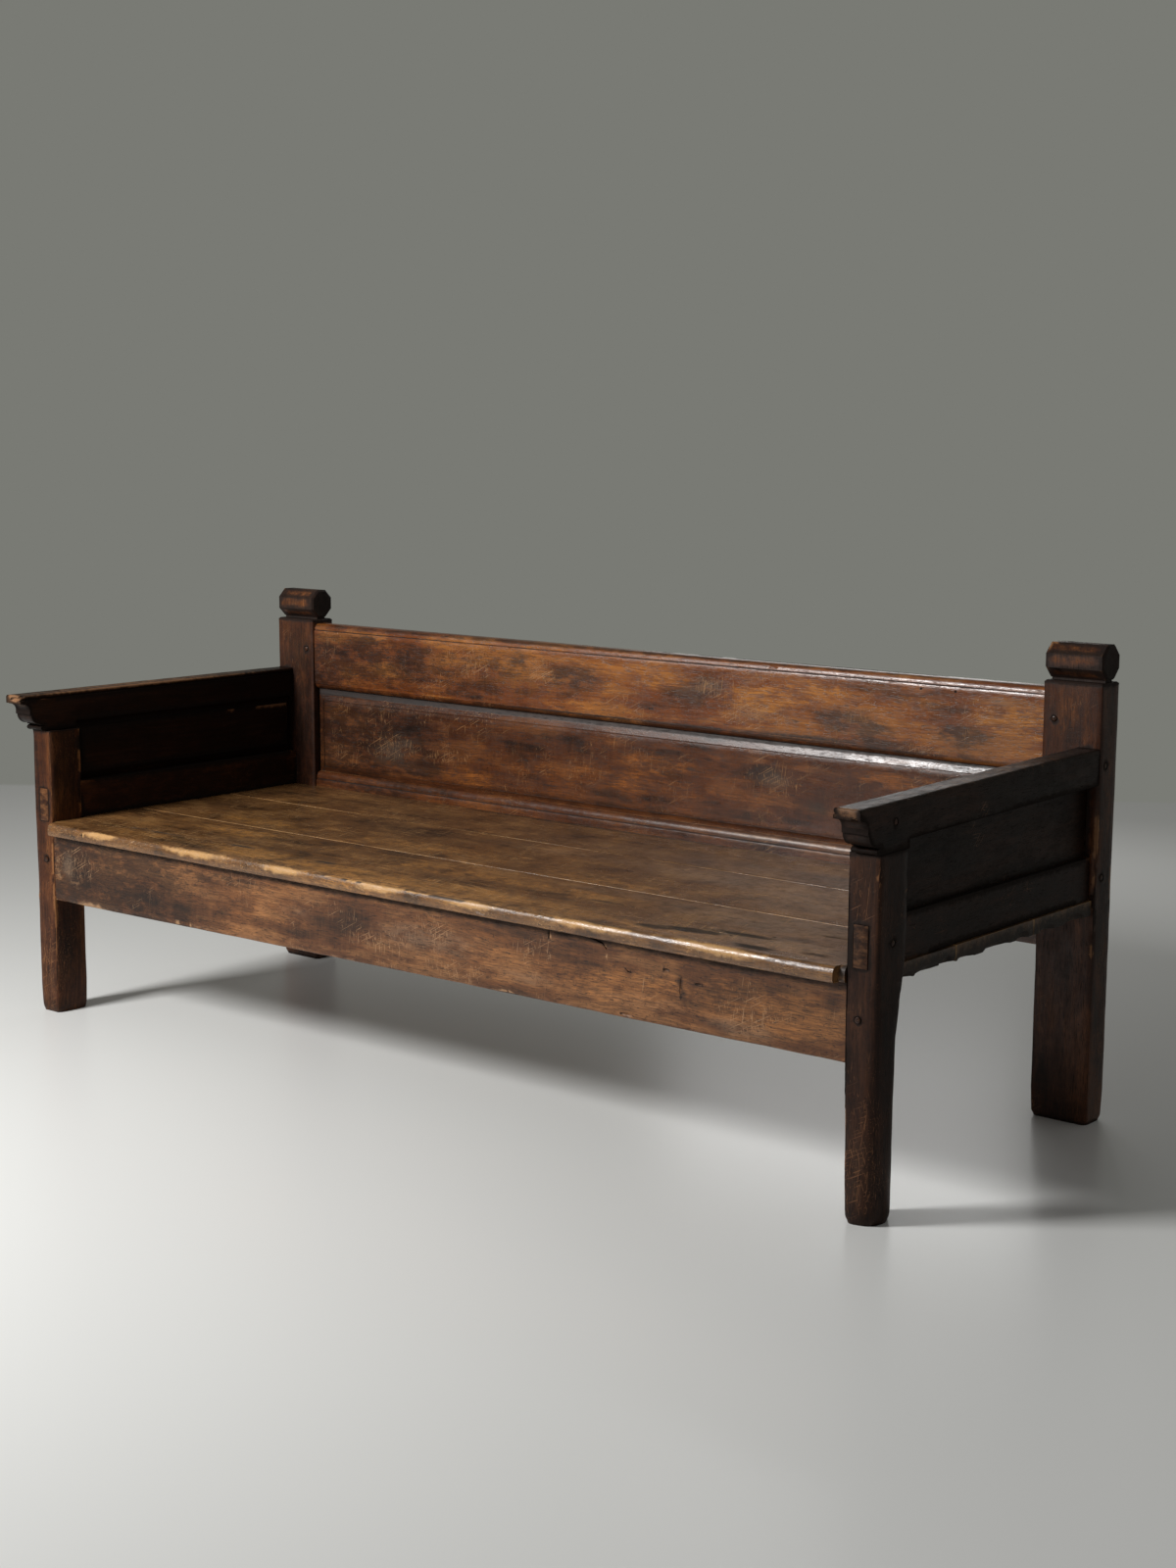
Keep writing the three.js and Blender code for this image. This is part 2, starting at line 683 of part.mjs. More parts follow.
function bottomRailOutline() {
  const [front, back] = backRailY;
  const { top, bottom, mouldHeight } = bottomRail;
  const mouldBottom = top - mouldHeight;
  const mouldFront = front + railOvolo.quirk;
  return [
    [back, bottom],
    [back, top],
    [mouldFront + railOvolo.depth, top],
    ...arc([mouldFront + railOvolo.depth, mouldBottom], [railOvolo.depth, mouldHeight], 90, 180)
      .slice(1, -1),
    ...quirkAndFillet(front, mouldBottom, mouldFront),
    [front, bottom],
  ];
}

function backPanelGroove() {
  const reach = rearPostInnerX + tongue.depth;
  return block(
    [-reach, reach],
    grown(backTongueY, fitGap),
    [bottomRail.top - tongue.depth, topRailBottom + tongue.depth],
  );
}

function makeBackRail(rail, outline, pegsBySide, bearerSeats) {
  const half = rearPostInnerX - fitGap;
  const body = solid(runAlongX(outline, [-half, half]));
  return cut(
    join(body, ...sides.map((side) => solid(block(...backTenonRanges(side, rail, 0))))),
    solid(backPanelGroove()),
    ...bearerSeats.map((x) => solid(block(...bearerTenonRanges(x, fitGap)))),
    ...pegsBySide.map((pegs) => pegHole(pegs[rail.pegName])),
  );
}

// The margins of the next ring of a panel, further in from its top and from its other edges
function deeper({ ends, top, bottom }, topStep, otherStep) {
  return { ends: ends + otherStep, top: top + topStep, bottom: bottom + otherStep };
}

function makeBackPanel() {
  const reach = rearPostInnerX + tongue.depth - fitGap;
  const bottom = bottomRail.top - tongue.depth + fitGap;
  const top = topRailBottom + tongue.depth - fitGap;
  const corners = [[-reach, bottom], [reach, bottom], [reach, top], [-reach, top]];
  const fieldW = backRail.tongueSetback + tongue.thickness - backRail.setback - backPanel.fieldSetback;
  const { quirkWidth, quirkDepth } = panelBevel;
  const bevelW = tongue.thickness + panelBevel.rise;
  const bevel = {
    ends: tongue.depth + backPanel.endReveal,
    top: tongue.depth + panelBevel.height,
    bottom: tongue.depth + backPanel.bottomBevel,
  };
  const fillet = deeper(bevel, quirkWidth, quirkWidth);
  const band = deeper(fillet, panelFillet.height, smallestRadius);
  const steps = [
    evenStep(0, 0),
    evenStep(0, tongue.thickness),
    { ...evenStep(tongue.depth, tongue.thickness), ends: bevel.ends - quirkDepth },
    { ...bevel, w: bevelW },
    { ...bevel, w: bevelW - quirkDepth },
    { ...fillet, w: bevelW - quirkDepth },
    { ...fillet, w: bevelW },
    { ...band, w: bevelW + panelFillet.rise },
    { ...deeper(band, panelFillet.height, smallestRadius), w: fieldW },
  ];
  const axes = [xAxis, zAxis, yAxis.clone().negate()];
  return solid(fieldedPanel(corners, steps, axes).translate(0, backTongueY[1], 0));
}

// Bearers under the seat, from the front rail to the back bottom rail
function bearerPlaces() {
  const reach = frontPostInnerX - bearer.endDistance;
  return [-reach, 0, reach];
}

function bearerTenonRanges(x, margin) {
  const half = bearer.width / 2 - tenon.shoulder;
  const middleZ = frontRailTop - bearer.height / 2;
  return [
    grown([x - half, x + half], margin),
    [frontRailY[1] - bearer.tenonLength - margin, backRailY[0] + bearer.tenonLength + margin],
    grown([middleZ - bearer.tenonHeight / 2, middleZ + bearer.tenonHeight / 2], margin),
  ];
}

function makeBearer(x) {
  const body = block(
    [x - bearer.width / 2, x + bearer.width / 2],
    [frontRailY[1] + fitGap, backRailY[0] - fitGap],
    [frontRailTop - bearer.height, frontRailTop],
  );
  return join(solid(body), solid(block(...bearerTenonRanges(x, 0))));
}

// Seat boards: the front one carries the nose and is notched round the front posts
const seatZ = [seatBottom, seatTop];
const boardEndX = outerX - board.endInset;
const frontBoardY = [frontY - nose.reach, frontY - nose.reach + board.frontWidth];
const middleBoardY = [frontBoardY[1] + board.jointGap,
  frontBoardY[1] + board.jointGap + board.middleWidth];
const backBoardY = [middleBoardY[1] + board.jointGap, backRailY[0] - fitGap];

function postNotches(innerX, yRange) {
  return sides.map((side) => solid(block(
    onSide(side, innerX - fitGap, outerX + cutOverrun),
    yRange,
    grown(seatZ, cutOverrun),
  )));
}

// What is missing from the ends of the nose, where it once ran past the posts.
function noseLosses() {
  const lipEnd = frontPostInnerX - nose.endInset;
  return sides.map((side) => solid(runAlongZ([
    [lipEnd, frontBoardY[0] - cutOverrun],
    [outerX + cutOverrun, frontBoardY[0] - cutOverrun],
    [outerX + cutOverrun, frontY - fitGap],
    [frontPostInnerX - fitGap, frontY - fitGap],
    [lipEnd, frontBoardY[0] + nose.cornerLoss],
  ].map(([x, y]) => [side.sign * x, y]), grown(seatZ, cutOverrun))));
}

function makeFrontBoard() {
  const [front, back] = frontBoardY;
  const outline = [
    [back, seatBottom],
    [back, seatTop],
    ...arc([front + nose.topRadius, seatTop - nose.topRadius],
      [nose.topRadius, nose.topRadius], 90, 180),
    ...arc([front + nose.bottomRadius, seatBottom + nose.bottomRadius],
      [nose.bottomRadius, nose.bottomRadius], 180, 270),
  ];
  const plank = solid(runAlongX(outline, [-boardEndX, boardEndX]));
  const notchY = [front - cutOverrun, frontPostBackY + fitGap];
  return cut(plank, ...noseLosses(), ...postNotches(frontPostInnerX, notchY));
}

function makeBackBoard() {
  const plank = solid(block([-boardEndX, boardEndX], backBoardY, seatZ));
  const notchY = [rearPostFrontY - fitGap, backBoardY[1] + cutOverrun];
  return cut(plank, ...postNotches(rearPostInnerX, notchY));
}

// The finish of each kind of piece
const finishes = {
  post: { color: 0x4a2a1a, roughness: 0.55, metalness: 0 },
  rail: { color: 0x5a331c, roughness: 0.5, metalness: 0 },
  panel: { color: 0x55301b, roughness: 0.55, metalness: 0 },
  seat: { color: 0x5c3f22, roughness: 0.45, metalness: 0 },
  hidden: { color: 0x3b2416, roughness: 0.75, metalness: 0 },
  peg: { color: 0x3a2013, roughness: 0.6, metalness: 0 },
};

const bench = new THREE.Group();

function place(name, body, finish) {
  const mesh = new THREE.Mesh(geometryOf(body), new THREE.MeshStandardMaterial(finishes[finish]));
  mesh.name = name;
  bench.add(mesh);
}

const pegsBySide = sides.map(pegsOf);

sides.forEach((side, index) => {
  const pegs = pegsBySide[index];
  place(`front_post_${side.name}`, makeFrontPost(side, pegs), 'post');
  place(`rear_post_${side.name}`, makeRearPost(side, pegs), 'post');
  place(`arm_rail_${side.name}`, makeArmRail(side, pegs), 'rail');
  place(`side_panel_${side.name}`, makeSidePanel(side), 'panel');
  place(`side_rail_${side.name}`, makeSideRail(side, pegs), 'rail');
  Object.values(pegs).forEach((item) => place(item.name, pegSolid(item), 'peg'));
});

place('front_rail', makeFrontRail(pegsBySide), 'rail');
place('back_top_rail', makeBackRail(backRails[0], topRailOutline(), pegsBySide, []), 'rail');
place('back_panel', makeBackPanel(), 'panel');
place('back_bottom_rail',
  makeBackRail(backRails[1], bottomRailOutline(), pegsBySide, bearerPlaces()), 'rail');
place('seat_board_front', makeFrontBoard(), 'seat');
place('seat_board_middle', solid(block([-boardEndX, boardEndX], middleBoardY, seatZ)), 'seat');
place('seat_board_back', makeBackBoard(), 'seat');
['left', 'centre', 'right'].forEach((where, index) => {
  place(`seat_bearer_${where}`, makeBearer(bearerPlaces()[index]), 'hidden');
});

export default bench;
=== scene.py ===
"""Dressed model of a long bench in old waxed walnut, with a panelled back and moulded arms.

Metres, +Z up, the front towards -Y, +X to the right of someone who faces the bench.
"""

import logging
import math
from contextlib import contextmanager
from dataclasses import dataclass
from enum import Enum
from typing import Callable, Iterator, Sequence

import bmesh
import bpy
import numpy as np
from mathutils import Matrix, Vector


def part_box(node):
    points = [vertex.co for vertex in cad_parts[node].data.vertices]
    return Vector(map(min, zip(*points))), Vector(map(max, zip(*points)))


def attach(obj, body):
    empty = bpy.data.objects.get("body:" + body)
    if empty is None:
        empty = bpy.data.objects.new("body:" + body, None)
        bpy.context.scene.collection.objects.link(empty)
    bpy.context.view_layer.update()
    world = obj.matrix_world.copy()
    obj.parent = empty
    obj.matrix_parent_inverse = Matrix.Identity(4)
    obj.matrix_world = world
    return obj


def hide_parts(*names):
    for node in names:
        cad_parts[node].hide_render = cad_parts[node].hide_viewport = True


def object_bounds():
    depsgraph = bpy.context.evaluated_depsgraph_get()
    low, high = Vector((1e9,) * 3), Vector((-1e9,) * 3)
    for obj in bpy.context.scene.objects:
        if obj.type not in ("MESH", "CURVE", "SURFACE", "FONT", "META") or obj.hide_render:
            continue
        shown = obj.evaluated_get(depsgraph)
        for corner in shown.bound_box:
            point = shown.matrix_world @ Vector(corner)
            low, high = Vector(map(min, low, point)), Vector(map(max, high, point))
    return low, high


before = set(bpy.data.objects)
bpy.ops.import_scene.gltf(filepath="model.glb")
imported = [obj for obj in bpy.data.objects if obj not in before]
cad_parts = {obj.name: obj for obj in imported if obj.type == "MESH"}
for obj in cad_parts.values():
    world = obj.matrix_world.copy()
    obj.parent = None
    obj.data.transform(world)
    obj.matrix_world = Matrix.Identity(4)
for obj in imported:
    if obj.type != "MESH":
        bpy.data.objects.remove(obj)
cad_box = [list(corner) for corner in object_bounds()]

log = logging.getLogger("bench")

Tone = tuple[float, float, float, float]
Point = tuple[float, float, float]
Socket = bpy.types.NodeSocket

# The room that a joint leaves, how near two places count as one, how square a face stands, and
# where the ends of the long rails start
SLIP = 0.0003
TOUCH = 1e-5
SQUARE = 0.99
RAIL_END = 0.9


def tone(red: int, green: int, blue: int) -> Tone:
    """Gives the linear colour of a screen colour.

    Args:
        red: Red, 0 to 255.
        green: Green, 0 to 255.
        blue: Blue, 0 to 255.

    Returns:
        The colour as a shader takes it.
    """
    parts = [part / 255 for part in (red, green, blue)]
    linear = [part / 12.92 if part <= 0.04045 else ((part + 0.055) / 1.055) ** 2.4
              for part in parts]
    return (linear[0], linear[1], linear[2], 1.0)


class Part(Enum):
    """What a selection is made of, with Blender's own select mode."""

    POINTS = (True, False, False)
    EDGES = (False, True, False)
    FACES = (False, False, True)


class Axis(Enum):
    """A direction along the bench, across it or up."""

    X = 0
    Y = 1
    Z = 2

    @property
    def way(self) -> Vector:
        """The unit vector along the axis."""
        return Vector([1.0 if index == self.value else 0.0 for index in range(3)])


class Grain(Enum):
    """The way the fibres run, as the turn that lays them along the pattern's own X."""

    ALONG_X = (0.0, 0.0, 0.0)
    ALONG_Y = (0.0, 0.0, -math.pi / 2)
    ALONG_Z = (0.0, math.pi / 2, 0.0)


class Side(Enum):
    """An end of the bench, as the viewer sees it."""

    LEFT = -1
    RIGHT = 1

    @property
    def word(self) -> str:
        """The word that ends the names of the side's pieces."""
        return self.name.lower()


# Tools of the workshop


def deselect_all() -> None:
    """Leaves nothing selected."""
    for item in bpy.context.selected_objects:
        item.select_set(False)


def make_active(item: bpy.types.Object) -> None:
    """Selects one object alone and makes it the active one."""
    deselect_all()
    item.select_set(True)
    bpy.context.view_layer.objects.active = item


def surface_bend(mesh: bpy.types.Mesh) -> np.ndarray:
    """Measures how sharply the surface turns at each point.

    Args:
        mesh: A mesh in object mode.

    Returns:
        One over the radius in metres, positive on an arris and negative in a corner.
    """
    count = len(mesh.vertices)
    places = np.empty(count * 3)
    normals = np.empty(count * 3)
    ends = np.empty(len(mesh.edges) * 2, dtype=np.int64)
    mesh.vertices.foreach_get("co", places)
    mesh.vertex_normals.foreach_get("vector", normals)
    mesh.edges.foreach_get("vertices", ends)
    places, normals, ends = places.reshape(-1, 3), normals.reshape(-1, 3), ends.reshape(-1, 2)
    first, last = ends[:, 0], ends[:, 1]
    step = places[last] - places[first]
    turn = normals[last] - normals[first]
    length = np.maximum(np.einsum("ij,ij->i", step, step), 1e-8)
    bend = np.einsum("ij,ij->i", turn, step) / length
    total, share = np.zeros(count), np.zeros(count)
    for side in (first, last):
        np.add.at(total, side, bend)
        np.add.at(share, side, 1.0)
    return total / np.maximum(share, 1.0)


def neighbours_mean(mesh: bpy.types.Mesh, values: np.ndarray, rounds: int) -> np.ndarray:
    """Softens values over the surface by sharing them along the edges.

    Args:
        mesh: A mesh in object mode.
        values: One value for each point.
        rounds: How many times they are shared.

    Returns:
        The softened values.
    """
    ends = np.empty(len(mesh.edges) * 2, dtype=np.int64)
    mesh.edges.foreach_get("vertices", ends)
    first, last = ends.reshape(-1, 2).T
    for _ in range(rounds):
        total, share = values.copy(), np.ones(len(values))
        np.add.at(total, first, values[last])
        np.add.at(total, last, values[first])
        np.add.at(share, first, 1.0)
        np.add.at(share, last, 1.0)
        values = total / share
    return values


@dataclass(frozen=True)
class Patch:
    """A soft-edged place on a piece where its colour changes.

    Attributes:
        place: Its middle.
        reach: Its half sizes along X, Y and Z.
        strength: How strong it is in the middle.
    """

    place: Point
    reach: Point
    strength: float = 1.0

    def weight(self, points: np.ndarray) -> np.ndarray:
        """Weighs points by their distance from the middle, 1 there and 0 outside."""
        away = (points - np.array(self.place)) / np.array(self.reach)
        distance = np.sqrt((away**2).sum(axis=1))
        inside = np.clip(1.0 - distance, 0.0, 1.0)
        return self.strength * inside * inside * (3 - 2 * inside)


@dataclass(frozen=True)
class Crack:
    """A crack that follows a path of points on a face.

    Attributes:
        path: Its points, on the surface.
        width: Its width in the middle.
        depth: Its depth in the middle.
    """

    path: tuple[Point, ...]
    width: float = 0.0022
    depth: float = 0.006


@dataclass(frozen=True)
class Chip:
    """A place where wood has broken off.

    Attributes:
        place: The middle of what is missing.
        size: Its half sizes along X, Y and Z.
    """

    place: Point
    size: Point


@dataclass(frozen=True)
class Wander:
    """A slow unevenness of a surface.

    Attributes:
        size: The size of its swells across the grain.
        depth: The height from hollow to swell.
        stretch: How much longer they are along the grain.
        level: The share of the depth that lies below the true surface.
    """

    size: float
    depth: float
    stretch: float = 3.0
    level: float = 0.5


class Timber:
    """A piece of wood that is sawn, shaped, worn and finished."""

    def __init__(self, item: bpy.types.Object) -> None:
        """Takes up the object that holds the piece's mesh."""
        self.item = item

    @classmethod
    def begun(cls, add: Callable, **settings: object) -> "Timber":
        """Adds a primitive and settles its place and size in its mesh.

        Args:
            add: The operator that adds it.
            **settings: The operator's settings.

        Returns:
            The rough piece.
        """
        deselect_all()
        add(**settings)
        bpy.ops.object.transform_apply(location=True, rotation=True, scale=True)
        return cls(bpy.context.object)

    @classmethod
    def sawn(cls, name: str, low: Sequence[float], high: Sequence[float]) -> "Timber":
        """Saws a square block.

        Args:
            name: The piece's name.
            low: Its lowest corner.
            high: Its highest corner.

        Returns:
            The block.
        """
        low, high = Vector(low), Vector(high)
        block = cls.begun(bpy.ops.mesh.primitive_cube_add, size=1, location=(low + high) / 2,
                          scale=high - low)
        block.item.name = name
        return block

    @classmethod
    def copied(cls, name: str, node: str) -> "Timber":
        """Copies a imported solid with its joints, as one skin of flat faces."""
        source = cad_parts[node]
        item = bpy.data.objects.new(name, source.data.copy())
        item.data.materials.clear()
        bpy.context.scene.collection.objects.link(item)
        timber = cls(item)
        with timber.shaping():
            bpy.ops.mesh.select_all(action="SELECT")
            bpy.ops.mesh.remove_doubles(threshold=TOUCH)
            bpy.ops.mesh.dissolve_limited(angle_limit=math.radians(0.5))
        return timber

    @property
    def mesh(self) -> bpy.types.Mesh:
        """The piece's mesh."""
        return self.item.data

    @property
    def seed(self) -> int:
        """A number of the piece's own, from its name."""
        return sum(ord(letter) * (index + 1) for index, letter in enumerate(self.item.name))

    @contextmanager
    def shaping(self) -> Iterator[None]:
        """Holds the piece in edit mode."""
        make_active(self.item)
        bpy.ops.object.mode_set(mode="EDIT")
        try:
            yield
        finally:
            bpy.ops.object.mode_set(mode="OBJECT")

    def pick(self, part: Part, test: Callable) -> int:
        """Selects the points, edges or faces that pass a test.

        Args:
            part: What is selected.
            test: Says whether an element is selected.

        Returns:
            How many were selected.
        """
        bpy.context.tool_settings.mesh_select_mode = part.value
        bpy.ops.mesh.select_all(action="DESELECT")
        skin = bmesh.from_edit_mesh(self.mesh)
        elements = {Part.POINTS: skin.verts, Part.EDGES: skin.edges, Part.FACES: skin.faces}[part]
        picked = [element for element in elements if test(element)]
        for element in picked:
            element.select_set(True)
        skin.select_flush_mode()
        bmesh.update_edit_mesh(self.mesh)
        return len(picked)

    def slice_at(self, axis: Axis, places: Sequence[float]) -> None:
        """Cuts a loop right round the piece at each place along an axis."""
        for place in places:
            bpy.ops.mesh.select_all(action="SELECT")
            bpy.ops.mesh.bisect(plane_co=axis.way * place, plane_no=axis.way, threshold=1e-6)

    def slice_evenly(self, axis: Axis, spacing: float) -> None:
        """Cuts loops an even distance apart over the piece's whole length."""
        places = [vertex.co[axis.value] for vertex in bmesh.from_edit_mesh(self.mesh).verts]
        low, high = min(places), max(places)
        count = max(1, round((high - low) / spacing))
        self.slice_at(axis, [low + (high - low) * step / count for step in range(1, count)])

    def slice_up(self, foot: float, loops: tuple[float, float, int]) -> None:
        """Cuts level loops, given as the first one's height above a foot, a spacing and a count."""
        first, spacing, count = loops
        self.slice_at(Axis.Z, [foot + first + spacing * step for step in range(count)])

    def divide(self, axis: Axis, spacing: float) -> None:
        """Divides the edges along an axis into equal lengths.

        Args:
            axis: The edges' direction.
            spacing: About how long each part is.
        """
        for cuts in (self._coarse_cuts(axis, spacing), None):
            lengths = self._lengths(axis)
            for length in sorted(lengths):
                parts = round(length / spacing)
                number = cuts if cuts and parts > cuts + 1 else (parts - 1 if cuts is None else 0)
                if number < 1:
                    continue
                if self.pick(Part.EDGES, lambda edge: self._runs(edge, axis, length)):
                    bpy.ops.mesh.subdivide(number_cuts=min(number, 100))

    def _coarse_cuts(self, axis: Axis, spacing: float) -> int:
        """Gives the cuts of a first pass, so that a second one needs no more than 100."""
        longest = max(self._lengths(axis), default=spacing)
        return math.ceil(longest / spacing / 90) - 1

    def _lengths(self, axis: Axis) -> set[float]:
        """Lists the lengths of the edges that run along an axis."""
        skin = bmesh.from_edit_mesh(self.mesh)
        return {round(edge.calc_length(), 4) for edge in skin.edges if self._runs(edge, axis, None)}

    @staticmethod
    def _runs(edge: bmesh.types.BMEdge, axis: Axis, length: float | None) -> bool:
        """Tells whether an edge runs along an axis, and has a length if one is given."""
        span = edge.verts[1].co - edge.verts[0].co
        whole = span.length
        if abs(span[axis.value]) < 0.999 * whole:
            return False
        return length is None or abs(whole - length) < 6e-5

    def push(self, test: Callable, way: Sequence[float]) -> None:
        """Moves the points that pass a test."""
        if self.pick(Part.POINTS, test):
            bpy.ops.transform.translate(value=way)

    def lengthen(self, test: Callable, way: Sequence[float]) -> None:
        """Extrudes the faces that pass a test."""
        if self.pick(Part.FACES, test):
            bpy.ops.mesh.extrude_region_move(TRANSFORM_OT_translate={"value": way})

    def round_off(self, test: Callable, radius: float, steps: int) -> None:
        """Bevels the edges that pass a test to a radius."""
        if self.pick(Part.EDGES, test):
            bpy.ops.mesh.bevel(offset=radius, segments=steps, profile=0.5, affect="EDGES")

    def press(self, test: Callable, axis: Axis, place: float) -> None:
        """Presses the points that pass a test onto a plane.

        Args:
            test: Says whether a point is pressed.
            axis: The axis that the plane lies across.
            place: Where it lies on the axis.
        """
        if self.pick(Part.POINTS, test):
            flat = [0.0 if index == axis.value else 1.0 for index in range(3)]
            bpy.ops.transform.resize(value=flat, center_override=axis.way * place)

    def trim(self) -> None:
        """Planes off whatever stands outside the bench's own box."""
        with self.shaping():
            for axis in Axis:
                for sign, corner in zip((-1, 1), cad_box):
                    place = corner[axis.value]
                    self.press(
                        lambda point: point.co[axis.value] * sign > place * sign + TOUCH / 100,
                        axis, place)

    def mould(self, face_y: float, outline: Sequence[tuple[float, float]]) -> None:
        """Runs a moulding along X on the front.

        Args:
            face_y: Where the flat front lies.
            outline: The moulding's heights, each with its depth behind the front. The last is
                the height of the piece's own edge.
        """
        self.slice_at(Axis.Z, [height for height, _ in outline[:-1]])
        for height, depth in outline:
            self.push(lambda point: abs(point.co.z - height) < 2 * TOUCH
                      and abs(point.co.y - face_y) < 2 * TOUCH, (0, depth, 0))

    def tenon(self, low: Vector, high: Vector, body: float, size: tuple[float, float]) -> None:
        """Cuts a tenon on both ends of a rail.

        Args:
            low: The rail's lowest corner, with its tenons.
            high: Its highest corner.
            body: Half its length between the shoulders.
            size: The tenons' thickness, and their shoulders above and below.
        """
        thickness, shoulder = size
        middle = (low.y + high.y) / 2
        self.slice_at(Axis.Y, [middle - thickness / 2, middle + thickness / 2])
        self.slice_at(Axis.Z, [low.z + shoulder, high.z - shoulder])
        for sign in (-1, 1):
            self.lengthen(
                lambda face: face.normal.x * sign > SQUARE
                and abs(face.calc_center_median().y - middle) < thickness / 2
                and low.z + shoulder < face.calc_center_median().z < high.z - shoulder,
                (sign * (high.x - body), 0, 0),
            )

    def use(self, kind: str, **settings: object) -> None:
        """Adds a modifier with its settings and applies it."""
        modifier = self.item.modifiers.new(kind.lower(), kind)
        for name, value in settings.items():
            setattr(modifier, name, value)
        make_active(self.item)
        bpy.ops.object.modifier_apply(modifier=modifier.name)

    def ease(self, width: float, steps: int = 2, angle: float = 30) -> None:
        """Takes the sharpness off every arris."""
        self.use(
            "BEVEL", width=width, segments=steps, limit_method="ANGLE",
            angle_limit=math.radians(angle), harden_normals=False, loop_slide=False,
        )

    def wander(self, wanders: Sequence[Wander], axis: Axis, group: str = "") -> None:
        """Lets the surface rise and fall.

        Args:
            wanders: The swells, from the slow to the quick.
            axis: The way the grain runs.
            group: The points that move, or all of them.
        """
        for number, swell in enumerate(wanders):
            texture = bpy.data.textures.new("swell", "CLOUDS")
            texture.noise_scale = swell.size
            texture.noise_depth = 1
            guide = bpy.data.objects.new("guide", None)
            bpy.context.scene.collection.objects.link(guide)
            guide.location = Vector((self.seed % 97, self.seed % 89, number * 7.3)) * 0.13
            guide.scale = [swell.stretch if index == axis.value else 1 for index in range(3)]
            bpy.context.view_layer.update()
            self.use(
                "DISPLACE", texture=texture, texture_coords="OBJECT", texture_coords_object=guide,
                strength=swell.depth, mid_level=swell.level, vertex_group=group,
            )
            bpy.data.objects.remove(guide)
            bpy.data.textures.remove(texture)

    def arrises(self, radius: float) -> None:
        """Marks the points that lie on arrises sharper than a radius."""
        bend = surface_bend(self.mesh) * radius
        weights = np.clip(neighbours_mean(self.mesh, np.clip(bend, 0, 1), 1) * 1.6, 0, 1)
        self._group("arris", weights)

    def near(self, patches: Sequence[Patch]) -> None:
        """Marks the points that lie in some patches."""
        self._group("place", self._weights(patches))

    def _group(self, name: str, weights: np.ndarray) -> None:
        """Keeps a weight for each point in a vertex group."""
        known = self.item.vertex_groups.get(name)
        if known:
            self.item.vertex_groups.remove(known)
        group = self.item.vertex_groups.new(name=name)
        for index in np.nonzero(weights > 0.01)[0]:
            group.add([int(index)], float(weights[index]), "REPLACE")

    def _weights(self, patches: Sequence[Patch]) -> np.ndarray:
        """Adds up the patches at each point."""
        points = np.empty(len(self.mesh.vertices) * 3)
        self.mesh.vertices.foreach_get("co", points)
        points = points.reshape(-1, 3)
        total = np.zeros(len(points))
        for patch in patches:
            total += patch.weight(points)
        return total

    def break_out(self, cracks: Sequence[Crack], chips: Sequence[Chip]) -> None:
        """Opens cracks and breaks chips off the piece."""
        cutters = [self._crack_cutter(crack) for crack in cracks]
        cutters += [self._chip_cutter(number, chip) for number, chip in enumerate(chips)]
        for cutter in cutters:
            self.take_away(cutter)

    def take_away(self, cutter: bpy.types.Object) -> None:
        """Cuts another object's shape out of the piece and clears that object away."""
        self.use("BOOLEAN", operation="DIFFERENCE", object=cutter, solver="MANIFOLD")
        spent = cutter.data
        bpy.data.objects.remove(cutter)
        bpy.data.meshes.remove(spent)

    def _crack_cutter(self, crack: Crack) -> bpy.types.Object:
        """Draws a thin wedge along a crack, pointed at both ends."""
        points = [Vector(point) for point in crack.path]
        ends = 0.25
        half = Vector((1, 1, 1)) * crack.width * ends / 2
        start = Timber.sawn("cutter", points[0] - half, points[0] + half)
        with start.shaping():
            way = points[1] - points[0]
            lead = max(range(3), key=lambda index: abs(way[index]))
            sign = math.copysign(1, way[lead])
            start.pick(Part.FACES, lambda face: face.normal[lead] * sign > SQUARE)
            size = ends
            middle = (len(points) - 1) / 2
            for number, (here, there) in enumerate(zip(points, points[1:]), 1):
                share = max(1 - abs(number - middle) / (middle + 0.5), 0.0)
                wanted = ends + (1 - ends) * math.sqrt(share)
                bpy.ops.mesh.extrude_region_move(TRANSFORM_OT_translate={"value": there - here})
                scale = wanted / size
                bpy.ops.transform.resize(value=(scale,) * 3, center_override=there)
                size = wanted
            deep = 2 * crack.depth / crack.width
            bpy.ops.mesh.select_all(action="SELECT")
            normal_axis = self._flat_axis(points)
            stretch = [deep if index == normal_axis else 1 for index in range(3)]
            centre = sum(points, Vector()) / len(points)
            bpy.ops.transform.resize(value=stretch, center_override=centre)
        return start.item

    @staticmethod
    def _flat_axis(points: Sequence[Vector]) -> int:
        """Finds the axis along which some points lie nearest to one plane."""
        spreads = [max(point[index] for point in points) - min(point[index] for point in points)
                   for index in range(3)]
        return spreads.index(min(spreads))

    def _chip_cutter(self, number: int, chip: Chip) -> bpy.types.Object:
        """Makes a rough lump where a chip has gone."""
        lump = Timber.begun(bpy.ops.mesh.primitive_ico_sphere_add, subdivisions=2, radius=1,
                            location=chip.place, scale=chip.size)
        with lump.shaping():
            bpy.ops.mesh.select_all(action="SELECT")
            bpy.ops.transform.vertex_random(
                offset=min(chip.size) * 0.35, seed=(self.seed + number) % 9973)
        return lump.item

    def paint(self, name: str, values: np.ndarray) -> None:
        """Keeps a value between 0 and 1 for each point, for the finish to read."""
        attribute = self.mesh.attributes.get(name) or self.mesh.attributes.new(
            name, "FLOAT", "POINT")
        attribute.data.foreach_set("value", np.clip(values, 0, 1).astype(np.float32))

